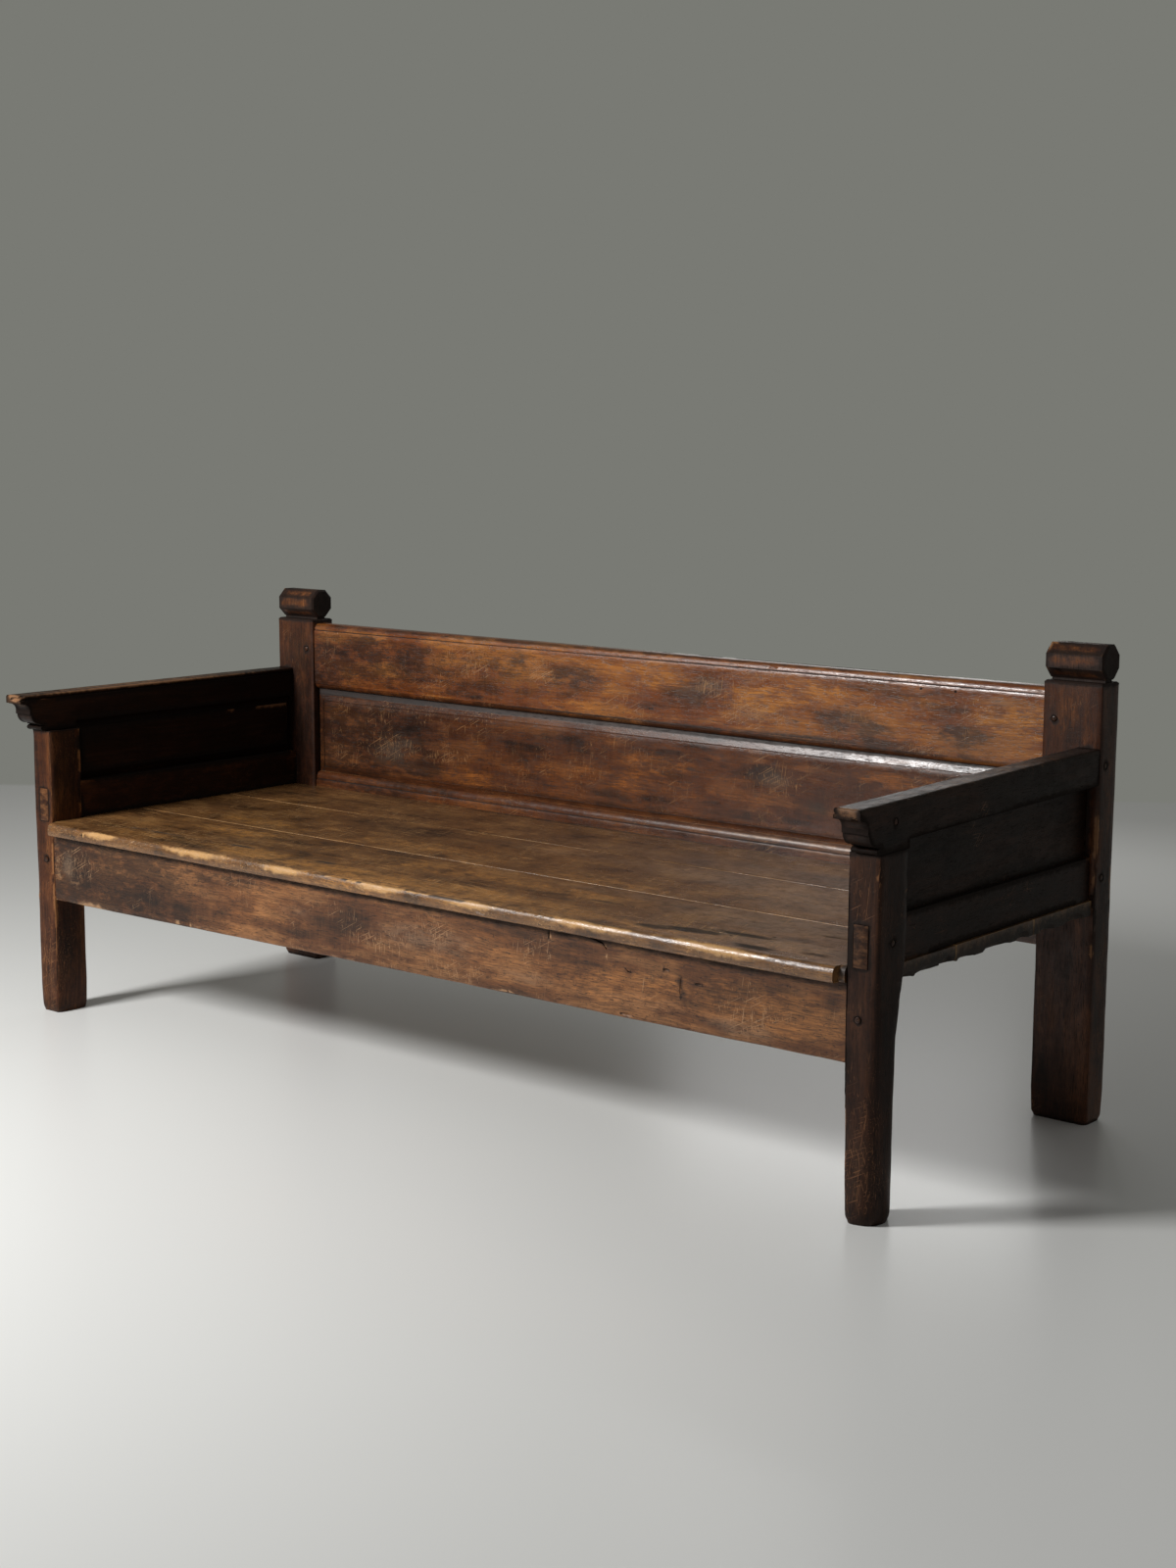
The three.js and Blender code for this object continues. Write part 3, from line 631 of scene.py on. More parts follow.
    def age(self, look: "Aging") -> None:
        """Paints wear, dirt, stains, haze, gold and scuffs, with the painted shade, sheen and
        highlights.
        """
        bend = surface_bend(self.mesh)
        worn = np.clip(bend * look.arris_radius, 0, 1) ** 3 * look.arris_share
        dirty = neighbours_mean(self.mesh, np.clip(-bend * look.corner_radius, 0, 1), 1)
        self.paint("wear", worn + self._weights(look.rubbed))
        self.paint("hollow", dirty * 1.5 + self._weights(look.grimy))
        self.paint("stain", self._weights(look.stained))
        self.paint("haze", self._weights(look.hazed))
        self.paint("gold", self._weights(look.golden))
        self.paint("scuff", self._weights(look.scuffed))

    def finish(self, material: bpy.types.Material, slot: str, *nodes: str) -> None:
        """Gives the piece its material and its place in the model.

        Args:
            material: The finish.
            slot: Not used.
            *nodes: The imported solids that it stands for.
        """
        for group in list(self.item.vertex_groups):
            self.item.vertex_groups.remove(group)
        self.trim()
        make_active(self.item)
        bpy.ops.object.shade_smooth_by_angle(angle=math.radians(38))
        self.mesh.materials.clear()
        self.mesh.materials.append(material)
        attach(self.item, "root")
        if nodes:
            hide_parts(*nodes)
        log.info("%s: %d faces", self.item.name, len(self.mesh.polygons))

    def dress(self, walnut: "Walnut", effects: "Effects", grain: Grain, pith: Point,
              turns: Sequence[Point], slot: str, node: str) -> None:
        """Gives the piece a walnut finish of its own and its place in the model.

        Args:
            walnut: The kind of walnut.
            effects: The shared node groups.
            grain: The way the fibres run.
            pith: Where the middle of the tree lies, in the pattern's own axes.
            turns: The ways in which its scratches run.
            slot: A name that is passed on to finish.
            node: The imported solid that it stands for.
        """
        self.finish(walnut.material(self.item.name, effects, grain, pith, turns), slot, node)


@dataclass(frozen=True)
class Aging:
    """Where a piece shows its age, and where shade, sheen and highlights are painted on it.

    Attributes:
        arris_radius: Arrises much sharper than this are worn bright.
        arris_share: How bright they are.
        corner_radius: Corners sharper than this hold dirt.
        rubbed: Places worn bright by use, and painted highlights on the seat's
            nose and the finials' arrises.
        grimy: Places with dirt, and painted shade in gaps, on the finials' ends, under
            the seat's nose and in the top rail's shadow on the panel.
        stained: Places with dark stains, and painted shade on faces turned from the
            light, on the seat boards' ends and towards the left end.
        hazed: Places where the wax has gone grey, and painted sheen on the seat.
        golden: Places where the wood shows golden through the wax.
        scuffed: Places with many scratches.
    """

    arris_radius: float = 0.0024
    arris_share: float = 0.8
    corner_radius: float = 0.004
    rubbed: tuple[Patch, ...] = ()
    grimy: tuple[Patch, ...] = ()
    stained: tuple[Patch, ...] = ()
    hazed: tuple[Patch, ...] = ()
    golden: tuple[Patch, ...] = ()
    scuffed: tuple[Patch, ...] = ()


# Finishes


class Graph:
    """Adds nodes to a material or a node group and wires them."""

    def __init__(self, tree: bpy.types.NodeTree) -> None:
        """Takes up a node tree."""
        self.tree = tree

    @classmethod
    def fresh(cls, owner: bpy.types.Material | bpy.types.World) -> "Graph":
        """Starts the nodes of a material or a world from nothing."""
        owner.use_nodes = True
        owner.node_tree.nodes.clear()
        return cls(owner.node_tree)

    def node(self, kind: str, inputs: dict | None = None, **settings: object) -> bpy.types.Node:
        """Adds a node.

        Args:
            kind: The node's type, without Blender's prefix for shader nodes.
            inputs: What goes into its sockets, a value or another node's output each.
            **settings: The node's own properties.

        Returns:
            The node.
        """
        made = self.tree.nodes.new(kind if kind.startswith("Node") else "ShaderNode" + kind)
        for name, value in settings.items():
            setattr(made, name, value)
        for name, value in (inputs or {}).items():
            if isinstance(value, Socket):
                self.tree.links.new(value, made.inputs[name])
            else:
                made.inputs[name].default_value = value
        return made

    def group(self, tree: bpy.types.NodeTree, inputs: dict) -> bpy.types.Node:
        """Places a node group with its inputs."""
        return self.node("Group", inputs, node_tree=tree)

    def maths(self, operation: str, first: object, second: object) -> Socket:
        """Works out one number from two."""
        return self.node("Math", {0: first, 1: second}, operation=operation).outputs[0]

    def vectors(self, operation: str, first: object, second: object) -> Socket:
        """Works out one vector from two."""
        return self.node("VectorMath", {0: first, 1: second}, operation=operation).outputs[0]

    def part(self, value: Socket, share: float) -> Socket:
        """Takes a share of a value."""
        return self.maths("MULTIPLY", value, share)

    def rest(self, value: Socket, share: float) -> Socket:
        """Takes a share of what a value leaves up to 1."""
        return self.node("Math", {0: value, 1: -share, 2: share},
                         operation="MULTIPLY_ADD").outputs[0]

    def blend(self, share: object, first: object, second: object) -> Socket:
        """Mixes two colours."""
        node = self.node("Mix", {0: share, 6: first, 7: second}, data_type="RGBA",
                         clamp_factor=True)
        return node.outputs[2]

    def spread(self, value: object, low: float, high: float, to_low: float = 0.0,
               to_high: float = 1.0) -> Socket:
        """Stretches the values between two limits over a new range, with soft ends."""
        node = self.node("MapRange", {0: value, 1: low, 2: high, 3: to_low, 4: to_high},
                         interpolation_type="SMOOTHSTEP")
        return node.outputs[0]

    def scaled(self, vector: Socket, scales: Point | Socket) -> Socket:
        """Stretches a vector along its own axes."""
        return self.vectors("MULTIPLY", vector, scales)

    def noise(self, vector: Socket, scales: Point, detail: float, roughness: float) -> Socket:
        """Gives a cloudy value between 0 and 1, with a scale along each axis."""
        return self.node("TexNoise", {"Vector": self.scaled(vector, scales), "Scale": 1.0,
                                      "Detail": detail, "Roughness": roughness}).outputs["Fac"]


def new_group(name: str, inputs: dict[str, str], outputs: dict[str, str]) -> tuple[
        bpy.types.NodeTree, Graph, bpy.types.Node, bpy.types.Node]:
    """Starts a shader node group.

    Args:
        name: The group's name.
        inputs: The kind of each input socket by its name.
        outputs: The kind of each output socket by its name.

    Returns:
        The group, its graph, its input node and its output node.
    """
    tree = bpy.data.node_groups.new(name, "ShaderNodeTree")
    for label, kind in inputs.items():
        tree.interface.new_socket(label, in_out="INPUT", socket_type="NodeSocket" + kind)
    for label, kind in outputs.items():
        tree.interface.new_socket(label, in_out="OUTPUT", socket_type="NodeSocket" + kind)
    graph = Graph(tree)
    return tree, graph, graph.node("NodeGroupInput"), graph.node("NodeGroupOutput")


class Effects:
    """The node groups that the finishes share."""

    def __init__(self) -> None:
        """Builds each group once."""
        self.grain = self._grain()
        self.patina = self._patina()
        self.scratches = self._scratches()
        self.edge = self._edge()

    @staticmethod
    def _grain() -> bpy.types.NodeTree:
        """Builds swaying growth rings, clouds, fibres and pores about a pith that runs along X."""
        tree, graph, given, put = new_group(
            "walnut_grain",
            {"Vector": "Vector", "Stretch": "Vector", "Ring Scale": "Float", "Sway": "Float"},
            {"Figure": "Float", "Fibre": "Float", "Pores": "Float", "Height": "Float"},
        )
        vector = given.outputs["Vector"]
        sway = graph.node("TexNoise", {"Vector": graph.scaled(vector, (3, 6, 6)), "Scale": 1.0,
                                       "Detail": 3.0, "Roughness": 0.5}).outputs["Color"]
        sway = graph.vectors("SUBTRACT", sway, (0.5, 0.5, 0.5))
        sway = graph.node("VectorMath", {0: sway, 3: given.outputs["Sway"]},
                          operation="SCALE").outputs[0]
        swayed = graph.vectors("ADD", vector, sway)
        rings = graph.node(
            "TexWave",
            {"Vector": graph.scaled(swayed, (0.11, 1, 1)), "Scale": given.outputs["Ring Scale"],
             "Distortion": 5.0, "Detail": 2.5, "Detail Scale": 0.8, "Detail Roughness": 0.6},
            wave_type="RINGS", rings_direction="X", wave_profile="SIN",
        ).outputs["Fac"]
        streaks = graph.spread(graph.noise(swayed, (1.8, 75, 75), 4.0, 0.6), 0.28, 0.72)
        clouds = graph.scaled(swayed, given.outputs["Stretch"])
        clouds = graph.spread(graph.noise(clouds, (4.5, 13, 13), 7.0, 0.6), 0.28, 0.72)
        figure = graph.maths("ADD", graph.part(rings, 0.12), graph.part(streaks, 0.2))
        figure = graph.maths("ADD", figure, graph.part(clouds, 0.68))
        fibre = graph.spread(graph.noise(swayed, (14, 330, 330), 5.0, 0.72), 0.3, 0.68)
        pores = graph.spread(graph.noise(swayed, (45, 620, 620), 1.0, 0.5), 0.58, 0.68)
        height = graph.maths("SUBTRACT", graph.part(fibre, 0.5), pores)
        for label, value in (("Figure", figure), ("Fibre", fibre), ("Pores", pores),
                             ("Height", height)):
            tree.links.new(value, put.inputs[label])
        return tree

    @staticmethod
    def _patina() -> bpy.types.NodeTree:
        """Builds the mottling of old wax: broad clouds, blotches, shimmer, specks and dents."""
        tree, graph, given, put = new_group(
            "old_wax",
            {"Vector": "Vector", "Stretch": "Vector"},
            {"Mottle": "Float", "Blotch": "Float", "Shimmer": "Float", "Specks": "Float",
             "Dents": "Float"},
        )
        vector = graph.scaled(given.outputs["Vector"], given.outputs["Stretch"])
        for label, scales, detail, roughness, low, high in (
                ("Mottle", (2.6, 6, 6), 9.0, 0.66, 0.28, 0.7),
                ("Blotch", (22, 52, 52), 7.0, 0.76, 0.32, 0.66),
                ("Shimmer", (120, 14, 14), 3.0, 0.6, 0.35, 0.7),
                ("Specks", (190, 260, 260), 2.0, 0.6, 0.62, 0.7),
                ("Dents", (24, 70, 70), 3.0, 0.6, 0.0, 1.0)):
            value = graph.noise(vector, scales, detail, roughness)
            tree.links.new(graph.spread(value, low, high), put.inputs[label])
        return tree

    @staticmethod
    def _scratches() -> bpy.types.NodeTree:
        """Builds short scratches that run one way, in loose clusters and where it is scuffed."""
        tree, graph, given, put = new_group(
            "scratches",
            {"Vector": "Vector", "Turn": "Vector", "Spread": "Float", "Scuff": "Float"},
            {"Mask": "Float"},
        )
        turned = graph.node("Mapping", {"Vector": given.outputs["Vector"],
                                        "Rotation": given.outputs["Turn"]}).outputs[0]
        scuff = given.outputs["Scuff"]
        lines = graph.noise(turned, (16, 620, 620), 1.0, 0.5)
        lines = graph.spread(graph.maths("ADD", lines, graph.part(scuff, 0.06)), 0.68, 0.73)
        where = graph.noise(given.outputs["Vector"], (9, 9, 9), 2.0, 0.6)
        where = graph.maths("ADD", where, graph.part(scuff, 0.5))
        level = graph.maths("ADD", where, graph.maths("SUBTRACT", given.outputs["Spread"], 1.0))
        mask = graph.maths("MULTIPLY", lines, graph.spread(level, 0.0, 0.12))
        tree.links.new(mask, put.inputs["Mask"])
        return tree

    @staticmethod
    def _edge() -> bpy.types.NodeTree:
        """Builds a broken edge between worn and sound wood."""
        tree, graph, given, put = new_group(
            "worn_edge",
            {"Vector": "Vector", "Amount": "Float", "Break Up": "Float"},
            {"Mask": "Float"},
        )
        rough = graph.noise(given.outputs["Vector"], (45, 90, 90), 4.0, 0.65)
        shift = graph.maths("MULTIPLY", graph.maths("SUBTRACT", rough, 0.5),
                            given.outputs["Break Up"])
        total = graph.maths("ADD", given.outputs["Amount"], shift)
        tree.links.new(graph.spread(total, 0.25, 0.8), put.inputs["Mask"])
        return tree


@dataclass(frozen=True)
class Walnut:
    """The colours and the surface of one kind of old walnut.

    Attributes:
        deep: The darkest of its figure.
        body: Its main colour.
        light: The lightest of its figure.
        gold: Where it shows golden.
        worn: Where arrises and noses are rubbed through the wax, and where highlights are
            painted on them.
        grime: The dirt in its corners and stains, and the colour of painted shade.
        haze: The grey of dull wax, and of the painted sheen on the seat.
        ring_scale: How close the growth rings lie.
        sway: How far the fibres wander from the straight.
        stretch: How much closer the clouds of the pattern lie along and across the fibres.
        mottling: How strongly the old wax is mottled.
        gilding: How much of it shows golden by itself.
        roughness: How dull the wax is.
        shine: How much light the wax throws back.
        relief: How deep the fibres and marks stand in the surface.
        scratched: The share of the surface with scratches.
    """

    deep: Tone
    body: Tone
    light: Tone
    gold: Tone = tone(156, 104, 52)
    worn: Tone = tone(164, 122, 80)
    grime: Tone = tone(18, 9, 5)
    haze: Tone = tone(104, 86, 70)
    ring_scale: float = 26.0
    sway: float = 0.045
    stretch: Point = (1.0, 1.0, 1.0)
    mottling: float = 0.38
    gilding: float = 0.35
    roughness: float = 0.27
    shine: float = 0.45
    relief: float = 0.3
    scratched: float = 0.46

    def material(self, name: str, effects: Effects, grain: Grain, pith: Point,
                 turns: Sequence[Point]) -> bpy.types.Material:
        """Makes the finish of one piece.

        Args:
            name: The material's name.
            effects: The shared node groups.
            grain: The way the fibres run.
            pith: Where the middle of the tree lies, in the pattern's own axes.
            turns: The ways in which its scratches run.

        Returns:
            The material.
        """
        material = bpy.data.materials.new(name)
        graph = Graph.fresh(material)
        place = graph.node("TexCoord").outputs["Object"]
        laid = graph.node("Mapping", {"Vector": place, "Location": pith,
                                      "Rotation": grain.value}).outputs[0]
        wood = graph.group(effects.grain, {"Vector": laid, "Stretch": self.stretch,
                                           "Ring Scale": self.ring_scale, "Sway": self.sway})
        wax = graph.group(effects.patina, {"Vector": laid, "Stretch": self.stretch})
        masks = self._masks(graph, effects, place, wax)
        marks = self._marks(graph, effects, place, turns)
        colour = self._colour(graph, wood, wax, marks, masks)
        roughness = self._gloss(graph, wood, wax, masks)
        height = self._height(graph, wood, wax, marks)
        bump = graph.node("Bump", {"Strength": self.relief, "Distance": 0.0012, "Height": height})
        shader = graph.node(
            "BsdfPrincipled",
            {"Base Color": colour, "Roughness": roughness, "Normal": bump.outputs[0],
             "Specular IOR Level": self.shine},
        )
        graph.node("OutputMaterial", {"Surface": shader.outputs[0]})
        return material

    def _marks(self, graph: Graph, effects: Effects, place: Socket,
               turns: Sequence[Point]) -> Socket:
        """Wires the scratches of all directions into one mask."""
        scuff = graph.node("Attribute", attribute_name="scuff").outputs["Fac"]
        mask = None
        for turn in turns:
            group = graph.group(effects.scratches, {"Vector": place, "Turn": turn,
                                                    "Spread": self.scratched, "Scuff": scuff})
            mask = (graph.maths("MAXIMUM", mask, group.outputs["Mask"]) if mask
                    else group.outputs["Mask"])
        return mask

    def _masks(self, graph: Graph, effects: Effects, place: Socket,
               wax: bpy.types.Node) -> dict[str, Socket]:
        """Breaks up what is painted on the piece into natural edges."""
        masks = {}
        for name, break_up in (("wear", 1.1), ("hollow", 0.8)):
            painted = graph.node("Attribute", attribute_name=name).outputs["Fac"]
            group = graph.group(effects.edge, {"Vector": place, "Amount": painted,
                                               "Break Up": break_up})
            masks[name] = group.outputs["Mask"]
        for name in ("stain", "haze", "gold"):
            painted = graph.node("Attribute", attribute_name=name).outputs["Fac"]
            broken = graph.spread(wax.outputs["Blotch"], 0, 1, 0.35, 1.35)
            masks[name] = graph.spread(graph.maths("MULTIPLY", painted, broken), 0.08, 0.8)
        return masks

    def _colour(self, graph: Graph, wood: bpy.types.Node, wax: bpy.types.Node, marks: Socket,
                masks: dict[str, Socket]) -> Socket:
        """Lays the colours over each other, from the wood up to the dirt and the painted shade."""
        figure, fibre = wood.outputs["Figure"], wood.outputs["Fibre"]
        mottle = wax.outputs["Mottle"]
        colour = graph.blend(graph.spread(figure, 0.1, 0.46), self.deep, self.body)
        colour = graph.blend(graph.spread(figure, 0.5, 0.78), colour, self.light)
        golden = graph.maths("MAXIMUM", masks["gold"],
                             graph.part(graph.spread(mottle, 0.5, 0.95), self.gilding))
        golden = graph.maths("MULTIPLY", golden, graph.spread(figure, 0.2, 0.65, 0.35, 1.0))
        layers = (
            (graph.part(golden, 0.9), graph.blend(fibre, self.light, self.gold)),
            (graph.rest(mottle, self.mottling), self.deep),
            (graph.rest(wax.outputs["Blotch"], self.mottling), self.deep),
            (graph.part(wax.outputs["Shimmer"], 0.12), self.light),
            (graph.rest(fibre, 0.5), self.deep),
            # The stain layer also holds painted shade, and the haze layer the seat's painted sheen.
            (graph.part(masks["stain"], 0.72), self.grime),
            (graph.part(masks["haze"], 0.32), self.haze),
            (graph.part(wood.outputs["Pores"], 0.6), self.grime),
            (graph.part(wax.outputs["Specks"], 0.6), self.grime),
            (graph.part(marks, 0.5), self.worn),
            # The wear layer also holds painted highlights, and the hollow layer painted shade.
            (graph.part(masks["wear"], 0.6), self.worn),
            (graph.part(masks["hollow"], 0.85), self.grime),
        )
        for share, layer in layers:
            colour = graph.blend(share, colour, layer)
        return colour

    def _gloss(self, graph: Graph, wood: bpy.types.Node, wax: bpy.types.Node,
               masks: dict[str, Socket]) -> Socket:
        """Makes waxed wood shine, and dirt and painted shade dull."""
        value = graph.spread(wax.outputs["Blotch"], 0, 1, self.roughness + 0.08,
                             self.roughness - 0.04)
        for source, share in ((wood.outputs["Pores"], 0.15), (masks["hollow"], 0.3),
                              (masks["stain"], 0.1), (masks["haze"], 0.08)):
            value = graph.maths("ADD", value, graph.part(source, share))
        return value

    def _height(self, graph: Graph, wood: bpy.types.Node, wax: bpy.types.Node,
                marks: Socket) -> Socket:
        """Sums up what stands proud or lies deep."""
        height = graph.part(wood.outputs["Height"], 0.35)
        for source, share in ((wax.outputs["Dents"], 0.8), (wax.outputs["Blotch"], 0.15),
                              (marks, -0.8), (wax.outputs["Specks"], -0.5)):
            height = graph.maths("ADD", height, graph.part(source, share))
        return height


RAIL_WALNUT = Walnut(deep=tone(50, 22, 9), body=tone(122, 64, 27), light=tone(160, 99, 45),
                     gold=tone(198, 130, 58), mottling=0.26)
PANEL_WALNUT = Walnut(deep=tone(32, 15, 8), body=tone(90, 48, 24), light=tone(124, 74, 38),
                      gold=tone(166, 98, 40), scratched=0.52, mottling=0.3, relief=0.14)
# The seat's haze tone paints a sheen on the seat, and its bright worn tone paints the nose's
# highlights along with its wear.
SEAT_WALNUT = Walnut(deep=tone(48, 30, 15), body=tone(118, 80, 45), light=tone(154, 110, 64),
                     gold=tone(204, 142, 72), worn=tone(206, 160, 104), haze=tone(144, 120, 98),
                     stretch=(2.0, 0.9, 0.9), gilding=0.12, mottling=0.34, roughness=0.3,
                     shine=0.5, scratched=0.56)
FRONT_WALNUT = Walnut(deep=tone(42, 23, 12), body=tone(98, 58, 31), light=tone(142, 96, 58),
                      gold=tone(178, 116, 62), worn=tone(178, 138, 100), haze=tone(124, 102, 82),
                      mottling=0.32, roughness=0.4, shine=0.3)
LEFT_POST_WALNUT = Walnut(deep=tone(28, 12, 6), body=tone(74, 38, 18), light=tone(102, 58, 29),
                          worn=tone(140, 94, 56), haze=tone(92, 62, 40), roughness=0.38,
                          shine=0.18)
RIGHT_POST_WALNUT = Walnut(deep=tone(16, 8, 5), body=tone(46, 25, 16), light=tone(68, 40, 25),
                           gold=tone(88, 54, 32), worn=tone(126, 86, 56), haze=tone(72, 52, 38),
                           roughness=0.38, shine=0.15)
REAR_POST_WALNUT = Walnut(deep=tone(28, 13, 7), body=tone(72, 38, 21), light=tone(104, 61, 34),
                          gold=tone(150, 94, 52), worn=tone(150, 106, 68), haze=tone(84, 60, 42),
                          roughness=0.36, shine=0.22)
# The arms' walnut is darker than the wood itself, as painted shade on the arms and the end panels.
SHADE_DARKENED_ARM_WALNUT = Walnut(deep=tone(12, 6, 4), body=tone(30, 16, 9), light=tone(50, 29, 18),
                    gold=tone(62, 38, 24), worn=tone(148, 108, 76), haze=tone(84, 62, 46),
                    roughness=0.42, shine=0.12, scratched=0.34)
HIDDEN_WALNUT = Walnut(deep=tone(44, 30, 19), body=tone(80, 58, 38), light=tone(104, 79, 54),
                       roughness=0.7)
PEG_WALNUT = Walnut(deep=tone(32, 17, 10), body=tone(60, 34, 20), light=tone(82, 50, 30),
                    gold=tone(82, 50, 30), gilding=0.0, shine=0.2)

TURNS_UPRIGHT = ((0.0, 1.45, 0.0), (0.0, 1.8, 0.1), (0.0, 0.5, 0.0))
TURNS_FLAT = ((0.0, 0.0, 0.2), (0.0, 0.0, -0.5), (0.0, 0.0, 1.3))
TURNS_SIDE = ((0.0, 0.3, 1.57), (0.5, 0.0, 1.4), (-0.7, 0.2, 1.6))


# The bench


def runs_at(edge: bmesh.types.BMEdge, y: float, z: float) -> bool:
    """Tells whether an edge runs along X at a place across the bench and a height."""
    return all(abs(vertex.co.y - y) < TOUCH and abs(vertex.co.z - z) < TOUCH
               for vertex in edge.verts)


def between_posts(which: str) -> float:
    """Gives half the length of what fits between the front or the rear posts."""
    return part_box(f"{which}_post_right")[0].x - SLIP


def on_front(y: float, *marks: Sequence[float]) -> tuple[Patch, ...]:
    """Places patches on an upright face.

    Args:
        y: Where the face lies.
        *marks: The place along X and Z, the half sizes and the strength of each.

    Returns:
        The patches.
    """
    return tuple(Patch((x, y, z), (wide, 0.1, high), strength)
                 for x, z, wide, high, strength in marks)


def on_top(z: float, *marks: Sequence[float]) -> tuple[Patch, ...]:
    """Places patches on a level face, as on_front does with X and Y."""
    return tuple(Patch((x, y, z), (wide, deep, 0.1), strength)
                 for x, y, wide, deep, strength in marks)


def cracks_in(face: Callable, *paths: Sequence) -> list[Crack]:
    """Opens cracks in a face.

    Args:
        face: Gives the point of the face at two places along it.
        *paths: The width and the depth of each crack, then its points.

    Returns:
        The cracks.
    """
    return [Crack(tuple(face(*point) for point in path[2:]), path[0], path[1]) for path in paths]


